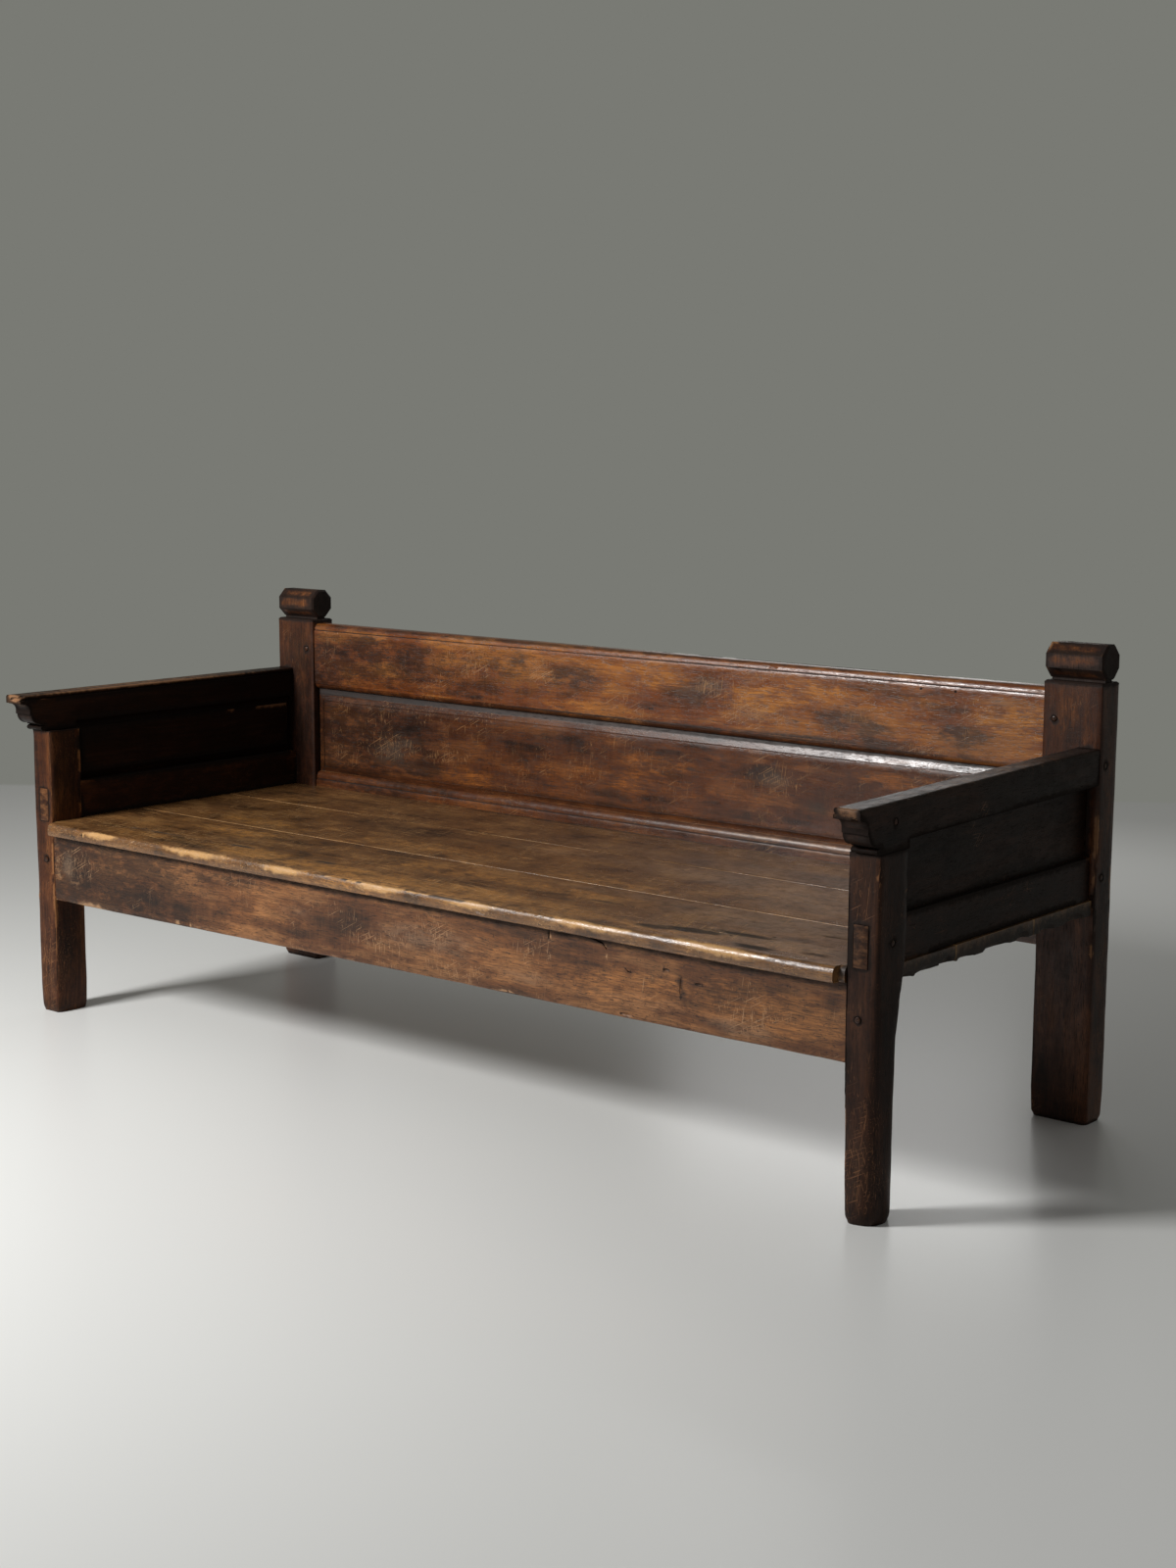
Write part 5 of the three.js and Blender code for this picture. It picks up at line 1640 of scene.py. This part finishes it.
@dataclass
class FrontRail:
    """The long rail under the nose of the seat.

    Attributes:
        effects: The node groups of the finishes.
        chamfer: The chamfer along its lower front edge.
        tenon: The thickness and the shoulder of its tenons.
        spacing: The distance between loops along it.
        sag: How far its lower edge stands above the even one, at the left and at the right.
        edge: How much of its height moves with that edge.
        loops: Its level loops: the first one's height, their spacing and their number.
        mortise: The mortises' half width, their depth, and where they start and end in height.
    """

    effects: Effects
    chamfer: float = 0.003
    tenon: tuple[float, float] = (0.02, 0.014)
    spacing: float = 0.008
    sag: tuple[float, float] = (-0.005, 0.009)
    edge: float = 0.008
    loops: tuple[float, float, int] = (0.024, 0.0105, 11)
    mortise: tuple[float, float, float, float] = (0.0163, 0.03, 0.3544, 0.389)

    def build(self) -> None:
        """Builds the rail."""
        low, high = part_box("front_rail")
        body = between_posts("front")
        rail = Timber.sawn("apron_rail", (-body, low.y, low.z), (body, high.y, high.z))
        with rail.shaping():
            rail.round_off(lambda edge: runs_at(edge, low.y, low.z), self.chamfer, 3)
            rail.tenon(low, high, body, self.tenon)
            for sign, rise in zip((-1, 1), self.sag):
                rail.push(lambda point: point.co.x * sign > RAIL_END
                          and point.co.z < low.z + self.edge, (0, 0, rise))
            rail.slice_up(low.z, self.loops)
            rail.divide(Axis.X, self.spacing)
        rail.wander([Wander(0.2, 0.002, 4.0), Wander(0.03, 0.0008, 2.5)], Axis.X)
        rail.arrises(0.003)
        rail.wander([Wander(0.02, 0.0022, 2.5, 1.0)], Axis.X, "arris")
        y = low.y
        self._mortises(rail)
        rail.break_out(
            cracks_in(
                lambda x, z: (x, y, z),
                (0.0034, 0.008, (0.398, 0.399), (0.3985, 0.391), (0.398, 0.383)),
                (0.0036, 0.007, (0.437, 0.399), (0.489, 0.399), (0.52, 0.392), (0.531, 0.382),
                 (0.53, 0.369)),
                (0.0026, 0.003, (0.575, 0.354), (0.579, 0.35), (0.586, 0.349))),
            [Chip((-1.012, y - 0.002, low.z), (0.025, 0.006, 0.012)),
             Chip((0.665, y - 0.0006, 0.366), (0.008, 0.003, 0.003)),
             Chip((0.735, y - 0.0006, 0.351), (0.009, 0.003, 0.003)),
             Chip((0.697, y - 0.0015, 0.34), (0.004, 0.003, 0.02)),
             Chip((-0.6, y, low.z - 0.002), (0.04, 0.004, 0.004)),
             Chip((0.3, y, low.z + 0.003), (0.05, 0.004, 0.004)),
             Chip((0.579, y - 0.001, 0.272), (0.015, 0.003, 0.004))],
        )
        edge = tuple(Patch((x, y, low.z + 0.002), (0.3, 0.008, 0.012), 0.4)
                     for x in (-0.9, -0.5, -0.1, 0.3, 0.7, 0.95))
        rail.age(Aging(
            rubbed=on_front(
                y, (-1.02, 0.335, 0.016, 0.06, 0.5), (-0.91, 0.258, 0.08, 0.01, 0.5),
                (-0.969, 0.3, 0.06, 0.03, 0.35)) + edge,
            # This band along the rail's top is partly dirt and partly the nose's painted shadow.
            grimy=(Patch((0, y, high.z), (3.0, 0.05, 0.024), 0.95),),
            hazed=on_front(
                y, (-0.985, 0.34, 0.04, 0.05, 0.8), (0.1, 0.335, 0.25, 0.05, 0.7),
                (0.828, 0.29, 0.12, 0.03, 0.8), (0.35, 0.3, 0.15, 0.03, 0.5),
                (-0.268, 0.338, 0.1, 0.03, 0.4), (0.62, 0.3, 0.2, 0.03, 0.5)),
            golden=on_front(
                y, (0.57, 0.32, 0.25, 0.06, 1.0), (0.85, 0.33, 0.3, 0.07, 0.8),
                (-0.564, 0.307, 0.25, 0.05, 0.5), (-0.783, 0.34, 0.14, 0.04, 0.4),
                (0.9, 0.33, 0.2, 0.06, 0.9), (-0.3, 0.31, 0.2, 0.04, 0.4),
                (0.25, 0.33, 0.25, 0.05, 0.5)),
            # The broad patch at the left end is painted shade where less light falls.
            stained=on_front(
                y, (-0.85, 0.33, 0.55, 0.2, 1.0), (-0.8, 0.375, 0.15, 0.03, 0.5),
                (0.695, 0.35, 0.012, 0.02, 1.0), (0.702, 0.325, 0.012, 0.02, 1.0),
                (-0.6, 0.29, 0.12, 0.03, 0.5), (0.911, 0.371, 0.06, 0.02, 0.6),
                (0.4, 0.38, 0.15, 0.02, 0.7), (-0.45, 0.375, 0.2, 0.02, 0.6),
                (-0.131, 0.28, 0.1, 0.015, 0.4), (1.008, 0.36, 0.03, 0.05, 0.6)),
            scuffed=on_front(
                y, (-0.049, 0.311, 0.1, 0.03, 0.9), (0.107, 0.353, 0.1, 0.03, 0.8),
                (0.182, 0.289, 0.1, 0.03, 0.9), (0.351, 0.352, 0.08, 0.03, 0.9),
                (-0.95, 0.34, 0.1, 0.06, 0.7), (0.85, 0.32, 0.12, 0.04, 0.6)),
        ))
        rail.dress(FRONT_WALNUT, self.effects, Grain.ALONG_X, (0.9, 0.28, -0.33), TURNS_UPRIGHT,
                   "rail", "front_rail")

    def _mortises(self, rail: Timber) -> None:
        """Cuts the mortises that take the tenons of the seat's bearers."""
        wide, deep, foot, head = self.mortise
        for where in ("left", "centre", "right"):
            low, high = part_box(f"seat_bearer_{where}")
            middle = (low.x + high.x) / 2
            cutter = Timber.sawn("cutter", (middle - wide, low.y - SLIP, foot),
                                 (middle + wide, low.y + deep, head))
            rail.take_away(cutter.item)


@dataclass
class EndFrame:
    """One end of the bench: two posts, the arm, the panel and the rail below it.

    Attributes:
        effects: The node groups of the finishes.
        side: Which end.
        sole: How much of a foot's uneven end is pressed flat.
    """

    effects: Effects
    side: Side
    sole: float = 0.0035

    def build(self) -> None:
        """Builds the posts, the arm and what lies between them."""
        self._front_post()
        self._rear_post()
        self._arm()
        self._side_rail()
        self._side_panel()

    def _copy(self, word: str, node: str, easing: float, spacings: dict[Axis, float]) -> Timber:
        """Copies one of the side's solids, eases its arrises and cuts even loops round it."""
        piece = Timber.copied(f"{word}_{self.side.word}", f"{node}_{self.side.word}")
        piece.ease(easing, 2, 40)
        with piece.shaping():
            for axis, spacing in spacings.items():
                piece.slice_evenly(axis, spacing)
        return piece

    def _finish(self, piece: Timber, walnut: Walnut, grain: Grain, pith: Point,
                turns: Sequence[Point], slot: str, node: str) -> None:
        """Gives a piece of the end its finish."""
        piece.dress(walnut, self.effects, grain, pith, turns, slot, f"{node}_{self.side.word}")

    def _front_post(self) -> None:
        """Builds the post that carries the arm."""
        post = self._copy("fore_post", "front_post", 0.0016,
                          {Axis.Z: 0.010, Axis.X: 0.012, Axis.Y: 0.014})
        x = self.side.value
        post.near([Patch((x * 1.064, -0.324, 0.0), (0.3, 0.3, 0.3))])
        post.use("SMOOTH", factor=0.5, iterations=9, vertex_group="place")
        post.wander([Wander(0.12, 0.0026, 2.5, 0.8), Wander(0.022, 0.001, 2.5, 0.8)], Axis.Z)
        post.arrises(0.004)
        post.wander([Wander(0.03, 0.0026, 3.0, 1.0)], Axis.Z, "arris")
        self._stand(post)
        if self.side is Side.RIGHT:
            post.break_out([], [Chip((1.0965, -0.366, 0.577), (0.006, 0.006, 0.018)),
                                Chip((1.034, -0.367, 0.6), (0.004, 0.004, 0.012)),
                                Chip((1.0965, -0.366, 0.12), (0.005, 0.005, 0.03))])
        post.age(Aging(
            arris_radius=0.0036, arris_share=0.95,
            rubbed=(Patch((x * 1.092, -0.366, 0.35), (0.012, 0.02, 0.35), 0.35),),
            hazed=(Patch((x * 1.06, -0.366, 0.1), (0.06, 0.06, 0.15), 0.5),
                   Patch((x * 1.06, -0.366, 0.35), (0.03, 0.06, 0.1), 0.3)),
            # The patches on the left post's inner face and the right post's outer face are painted
            # shade on faces turned from the light.
            stained=(Patch((x * 1.06, -0.366, 0.01), (0.08, 0.1, 0.035), 0.8),
                     Patch((-1.033, -0.324, 0.56), (0.014, 0.08, 0.2), 1.0),
                     Patch((-1.033, -0.324, 0.15), (0.014, 0.08, 0.2), 0.6),
                     Patch((-1.081, -0.366, 0.59), (0.012, 0.03, 0.02), 1.0),
                     Patch((-1.075, -0.366, 0.565), (0.008, 0.03, 0.012), 0.8),
                     Patch((1.07, -0.366, 0.62), (0.03, 0.05, 0.1), 0.5),
                     Patch((1.098, -0.32, 0.35), (0.016, 0.07, 0.6), 0.9)),
            scuffed=(Patch((x * 1.06, -0.366, 0.1), (0.06, 0.06, 0.15), 0.8),),
        ))
        walnut = LEFT_POST_WALNUT if self.side is Side.LEFT else RIGHT_POST_WALNUT
        self._finish(post, walnut, Grain.ALONG_Z, (0.2 + x, 0.4, x * 1.02), TURNS_UPRIGHT,
                     "post", "front_post")

    def _stand(self, post: Timber) -> None:
        """Sets a foot flat on the floor."""
        with post.shaping():
            post.press(lambda point: point.co.z < self.sole, Axis.Z, 0.0)

    def _rear_post(self) -> None:
        """Builds the post with the finial."""
        post = self._copy("finial_post", "rear_post", 0.0006,
                          {Axis.Z: 0.011, Axis.X: 0.012, Axis.Y: 0.014})
        x = self.side.value
        post.wander([Wander(0.14, 0.0014, 2.5, 0.8)], Axis.Z)
        post.near([Patch((x * 1.035, 0.397, 0.35), (0.5, 0.5, 0.52))])
        post.wander([Wander(0.02, 0.0012, 2.5, 0.8)], Axis.Z, "place")
        post.arrises(0.003)
        post.wander([Wander(0.02, 0.0012, 3.0, 1.0)], Axis.Z, "arris")
        self._stand(post)
        post.age(Aging(
            arris_radius=0.003, arris_share=0.95,
            # The patch on the finial's right end is painted shade on a face turned from the light.
            grimy=(Patch((x * 1.035, 0.397, 0.833), (0.12, 0.1, 0.006), 1.0),
                   Patch((x * 1.035 + 0.06, 0.397, 0.87), (0.01, 0.1, 0.06), 0.9),
                   Patch((x * 1.069, 0.364, 0.716), (0.02, 0.02, 0.01), 0.8)),
            golden=(Patch((x * 1.03, 0.364, 0.76), (0.06, 0.05, 0.08), 0.5),
                    Patch((x * 1.03, 0.36, 0.88), (0.1, 0.08, 0.06), 1.0 - x * 0.3)),
            # The tall patch on the left post's front and the one on the right post's outer face are
            # painted shade.
            stained=(Patch((x * 1.0, 0.364, 0.765), (0.014, 0.05, 0.012), 0.8),
                     Patch((x * 1.035, 0.364, 0.02), (0.1, 0.1, 0.05), 0.7),
                     Patch((-1.03, 0.364, 0.6), (0.12, 0.1, 0.4), 0.9),
                     Patch((1.098, 0.4, 0.4), (0.016, 0.07, 0.7), 1.0),
                     Patch((1.035, 0.38, 0.848), (0.08, 0.06, 0.02), 0.7),
                     Patch((x * 1.06, 0.364, 0.64), (0.06, 0.06, 0.07), 0.5)),
            # These are partly wear and partly painted highlights along the finial's arrises.
            rubbed=(Patch((x * 1.035, 0.364, 0.893), (0.07, 0.02, 0.008), 0.4 - x * 0.15),
                    Patch((x * 1.035, 0.358, 0.872), (0.08, 0.02, 0.014), 0.35 - x * 0.3)),
        ))
        self._finish(post, REAR_POST_WALNUT, Grain.ALONG_Z, (1.2 + x, -0.43, x * 1.05),
                     TURNS_UPRIGHT, "post", "rear_post")

    def _arm(self) -> None:
        """Builds the moulded arm with its bracket."""
        arm = self._copy("moulded_arm", "arm_rail", 0.0008,
                         {Axis.Y: 0.008, Axis.X: 0.010, Axis.Z: 0.011})
        arm.wander([Wander(0.1, 0.0014, 3.0, 0.8), Wander(0.02, 0.0006, 2.5, 0.8)], Axis.Y)
        arm.arrises(0.003)
        arm.wander([Wander(0.014, 0.0014, 2.5, 1.0)], Axis.Y, "arris")
        low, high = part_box(f"arm_rail_{self.side.word}")
        x, front, top = self.side.value, low.y, high.z
        chips = [Chip((x * 1.06, front + 0.001, top - 0.008), (0.02, 0.004, 0.004)),
                 Chip((x * 1.085, front + 0.002, top - 0.03), (0.01, 0.004, 0.004)),
                 Chip((x * 1.047, front + 0.002, top - 0.002), (0.007, 0.01, 0.004))]
        if self.side is Side.LEFT:
            chips.append(Chip((-1.075, front + 0.12, top + 0.001), (0.02, 0.014, 0.003)))
        arm.break_out([], chips)
        arm.age(Aging(
            arris_share=0.9,
            rubbed=(Patch((x * 1.07, front + 0.003, top - 0.02), (0.06, 0.016, 0.035),
                          0.6 - x * 0.15),
                    Patch((x * 1.046, -0.1, top), (0.006, 0.6, 0.008), 0.7),
                    Patch((x * 1.07, -0.1, top + 0.005), (0.06, 0.9, 0.045), 0.5)),
            hazed=(Patch((x * 1.07, -0.1, top), (0.06, 0.7, 0.012), 0.6),),
            scuffed=(Patch((x * 1.07, front + 0.01, top - 0.02), (0.06, 0.03, 0.04), 1.0),),
        ))
        self._finish(arm, SHADE_DARKENED_ARM_WALNUT, Grain.ALONG_Y, (0.7, x * 1.03, -0.66), TURNS_SIDE,
                     "rail", "arm_rail")

    def _side_rail(self) -> None:
        """Builds the rail on the ends of the seat boards."""
        rail = self._copy("seat_side_rail", "side_rail", 0.0006, {Axis.Y: 0.012, Axis.Z: 0.012})
        sign = self.side.value
        rail.near([Patch((sign * 1.06, 0.05, 0.47), (0.5, 0.48, 0.5))])
        rail.wander([Wander(0.1, 0.0016, 3.0, 0.8), Wander(0.02, 0.0006, 2.5, 0.8)], Axis.Y,
                    "place")
        outline = [Patch((sign * x, -0.366, z), size, 1.0)
                   for x, z, size in ((1.04, 0.47, (0.0012, 0.004, 0.08)),
                                      (1.082, 0.47, (0.0012, 0.004, 0.08)),
                                      (1.061, 0.51, (0.04, 0.004, 0.0012)))]
        # These darken the rail's long faces as painted shade.
        shaded_sides = [Patch((sign * x, 0.02, 0.47), (0.012, 0.6, 0.3), 1.0) for x in (1.038, 1.084)]
        rail.age(Aging(
            arris_share=0.4,
            grimy=outline,
            stained=(Patch((sign * 1.061, -0.366, 0.47), (0.06, 0.02, 0.08), 0.5), *shaded_sides),
        ))
        walnut = LEFT_POST_WALNUT if self.side is Side.LEFT else RIGHT_POST_WALNUT
        self._finish(rail, walnut, Grain.ALONG_Y, (2.1 + sign * 0.37, 0.83, -0.3),
                     TURNS_SIDE, "rail", "side_rail")

    def _side_panel(self) -> None:
        """Builds the fielded panel under the arm."""
        panel = self._copy("arm_panel", "side_panel", 0.0004, {Axis.Y: 0.013, Axis.Z: 0.013})
        panel.wander([Wander(0.12, 0.0014, 3.0, 0.8), Wander(0.025, 0.0005, 2.5, 0.8)], Axis.Y)
        panel.age(Aging())
        self._finish(panel, SHADE_DARKENED_ARM_WALNUT, Grain.ALONG_Y, (3.3, self.side.value * 1.04, -0.57),
                     TURNS_SIDE, "panel", "side_panel")


@dataclass
class Fastenings:
    """The pegs through the tenons and the bearers below the seat.

    Attributes:
        effects: The node groups of the finishes.
        peg_names: The first words of the pegs' names.
        sunk: How far a peg's end lies below the face.
    """

    effects: Effects
    peg_names: tuple[str, ...] = (
        "peg_top_rail", "peg_bottom_rail", "peg_front_rail", "peg_arm_front", "peg_arm_rear",
        "peg_side_rail_front", "peg_side_rail_rear")
    sunk: float = 0.0006

    def build(self) -> None:
        """Drives the pegs and lays the bearers."""
        finish = PEG_WALNUT.material("pegs", self.effects, Grain.ALONG_Y, (0.4, 0.1, 0.2),
                                     TURNS_UPRIGHT)
        pattern = self._pattern()
        for side in Side:
            for word in self.peg_names:
                self._drive(pattern, f"{word}_{side.word}", finish)
        bpy.data.objects.remove(pattern.item)
        self._bearers()

    @staticmethod
    def _pattern() -> Timber:
        """Models one peg of unit length along Z, with a cleft, eased end."""
        peg = Timber.begun(bpy.ops.mesh.primitive_cylinder_add, vertices=10, radius=1, depth=1,
                           location=(0, 0, 0.5))
        with peg.shaping():
            peg.pick(Part.FACES, lambda face: face.normal.z < -SQUARE)
            bpy.ops.mesh.inset(thickness=0.22, depth=0.012)
            bpy.ops.mesh.inset(thickness=0.3, depth=0.004)
            peg.slice_at(Axis.Z, [0.04, 0.12, 0.5])
        return peg

    def _drive(self, pattern: Timber, name: str, finish: bpy.types.Material) -> None:
        """Copies the peg into the place of a packed one."""
        low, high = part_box(name)
        size = high - low
        axis = max(range(3), key=lambda index: size[index])
        radius = sum(size[index] for index in range(3) if index != axis) / 4
        item = pattern.item.copy()
        item.data = pattern.item.data.copy()
        item.name = f"driven_{name}"
        bpy.context.scene.collection.objects.link(item)
        way = Vector((0, 1, 0)) if axis == 1 else Vector((-1 if low.x > 0 else 1, 0, 0))
        start = (low + high) / 2 - way * (size[axis] / 2 - self.sunk)
        turn = Vector((0, 0, 1)).rotation_difference(way).to_matrix().to_4x4()
        item.matrix_world = (Matrix.Translation(start) @ turn
                             @ Matrix.Diagonal((radius, radius, size[axis] - self.sunk, 1)))
        make_active(item)
        bpy.ops.object.transform_apply(location=True, rotation=True, scale=True)
        peg = Timber(item)
        peg.age(Aging(arris_share=0.0))
        peg.finish(finish, "peg", name)

    def _bearers(self) -> None:
        """Dresses the three bearers below the seat."""
        for number, where in enumerate(("left", "centre", "right")):
            bearer = Timber.copied(f"bearer_{where}", f"seat_bearer_{where}")
            with bearer.shaping():
                bearer.slice_evenly(Axis.Y, 0.02)
                bearer.slice_evenly(Axis.X, 0.015)
            bearer.ease(0.003, 2, 40)
            bearer.wander([Wander(0.06, 0.002, 3.0, 1.0)], Axis.Y)
            bearer.age(Aging())
            bearer.dress(HIDDEN_WALNUT, self.effects, Grain.ALONG_Y, (number * 1.3, 0.1, -0.37),
                         TURNS_FLAT, "hidden", f"seat_bearer_{where}")


# The studio


@dataclass(frozen=True)
class Lamp:
    """A soft square lamp.

    Attributes:
        name: Its name.
        place: Where it hangs.
        aim: What it points at.
        size: Its width.
        power: Its power in watts.
    """

    name: str
    place: Point
    aim: Point
    size: float
    power: float


@dataclass
class Studio:
    """The floor, the lamps and the camera.

    Attributes:
        eye: Where the camera stands.
        yaw: How far it is turned from +Y towards -X, in radians.
        pitch: How far it looks down.
        roll: How far it leans.
        focal_share: The focal length over the picture's height.
        key: The strong lamp up in front, on the left.
        back: The weak lamp behind the bench.
        fill: The strength of the light from all round.
        floor_tone: The colour of the floor.
        wall_tone: The colour that shows behind it.
        wall_way: The way from the bench to the wall.
        wall_start: How far off the floor starts to fade into the wall.
        wall_end: How far off it has gone.
    """

    eye: Point = (3.00061, -3.37825, 1.28557)
    yaw: float = 0.6947
    pitch: float = 0.1553
    roll: float = 0.0039
    focal_share: float = 2320.708 / 1600
    key: Lamp = Lamp("key", (-1.35, -2.8, 2.3), (0.0, 0.0, 0.4), 0.8, 152.0)
    back: Lamp = Lamp("back_light", (-1.0, 2.7, 1.5), (0.0, 0.4, 0.6), 1.2, 10.0)
    fill: float = 0.175
    floor_tone: Tone = tone(226, 226, 223)
    wall_tone: Tone = tone(121, 122, 116)
    wall_way: Point = (-0.58, 0.81, 0.0)
    wall_start: float = 3.42
    wall_end: float = 3.5

    def build(self) -> None:
        """Sets up the camera, the lamps, the floor and the backdrop."""
        self._camera()
        for lamp in (self.key, self.back):
            self._hang(lamp)
        self._world()
        self._floor()
        bpy.context.scene.view_settings.view_transform = "Standard"

    def _camera(self) -> None:
        """Stands the camera where the picture was taken from."""
        forward = Vector((-math.sin(self.yaw) * math.cos(self.pitch),
                          math.cos(self.yaw) * math.cos(self.pitch), -math.sin(self.pitch)))
        level = Vector((math.cos(self.yaw), math.sin(self.yaw), 0))
        upright = level.cross(forward)
        right = level * math.cos(self.roll) + upright * math.sin(self.roll)
        up = upright * math.cos(self.roll) - level * math.sin(self.roll)
        data = bpy.data.cameras.new("camera")
        data.sensor_width = 36
        data.lens = self.focal_share * data.sensor_width
        camera = bpy.data.objects.new("camera", data)
        turn = Matrix((right, up, -forward)).transposed().to_4x4()
        camera.matrix_world = Matrix.Translation(self.eye) @ turn
        bpy.context.scene.collection.objects.link(camera)
        bpy.context.scene.camera = camera

    @staticmethod
    def _hang(lamp: Lamp) -> None:
        """Hangs a soft square lamp."""
        data = bpy.data.lights.new(lamp.name, "AREA")
        data.shape = "SQUARE"
        data.size = lamp.size
        data.energy = lamp.power
        item = bpy.data.objects.new(lamp.name, data)
        item.location = lamp.place
        item.rotation_mode = "QUATERNION"
        item.rotation_quaternion = (Vector(lamp.place) - Vector(lamp.aim)).to_track_quat("Z", "Y")
        bpy.context.scene.collection.objects.link(item)

    def _world(self) -> None:
        """Fills the room with even light and shows a plain grey behind."""
        world = bpy.data.worlds.new("room")
        graph = Graph.fresh(world)
        path = graph.node("LightPath")
        seen = graph.maths("MAXIMUM", path.outputs["Is Camera Ray"], path.outputs["Is Glossy Ray"])
        fill = (self.fill, self.fill, self.fill * 0.98, 1.0)
        colour = graph.blend(seen, fill, self.wall_tone)
        back = graph.node("Background", {"Color": colour, "Strength": 1.0})
        graph.node("OutputWorld", {"Surface": back.outputs[0]})
        bpy.context.scene.world = world

    def _floor(self) -> None:
        """Lays a plain pale floor that runs out into the backdrop."""
        deselect_all()
        bpy.ops.mesh.primitive_circle_add(vertices=96, radius=30, fill_type="NGON",
                                          location=(0, 0, 0))
        floor = bpy.context.object
        floor.name = "floor"
        material = bpy.data.materials.new("floor")
        graph = Graph.fresh(material)
        place = graph.node("TexCoord").outputs["Object"]
        shader = graph.node("BsdfPrincipled", {"Base Color": self.floor_tone, "Roughness": 0.3})
        beyond = graph.node("Emission", {"Color": self.wall_tone, "Strength": 1.0})
        distance = graph.node("VectorMath", {0: place, 1: self.wall_way},
                              operation="DOT_PRODUCT").outputs["Value"]
        mixed = graph.node("MixShader", {0: graph.spread(distance, self.wall_start, self.wall_end),
                                         1: shader.outputs[0], 2: beyond.outputs[0]})
        graph.node("OutputMaterial", {"Surface": mixed.outputs[0]})
        floor.data.materials.append(material)


def main() -> None:
    """Builds the bench piece by piece and logs how many faces each piece came out with."""
    logging.basicConfig(level=logging.INFO, format="%(message)s")
    Studio().build()
    effects = Effects()
    Seat(effects).build()
    Back(effects).build()
    FrontRail(effects).build()
    for side in Side:
        EndFrame(effects, side).build()
    Fastenings(effects).build()


if __name__ == "__main__":
    main()
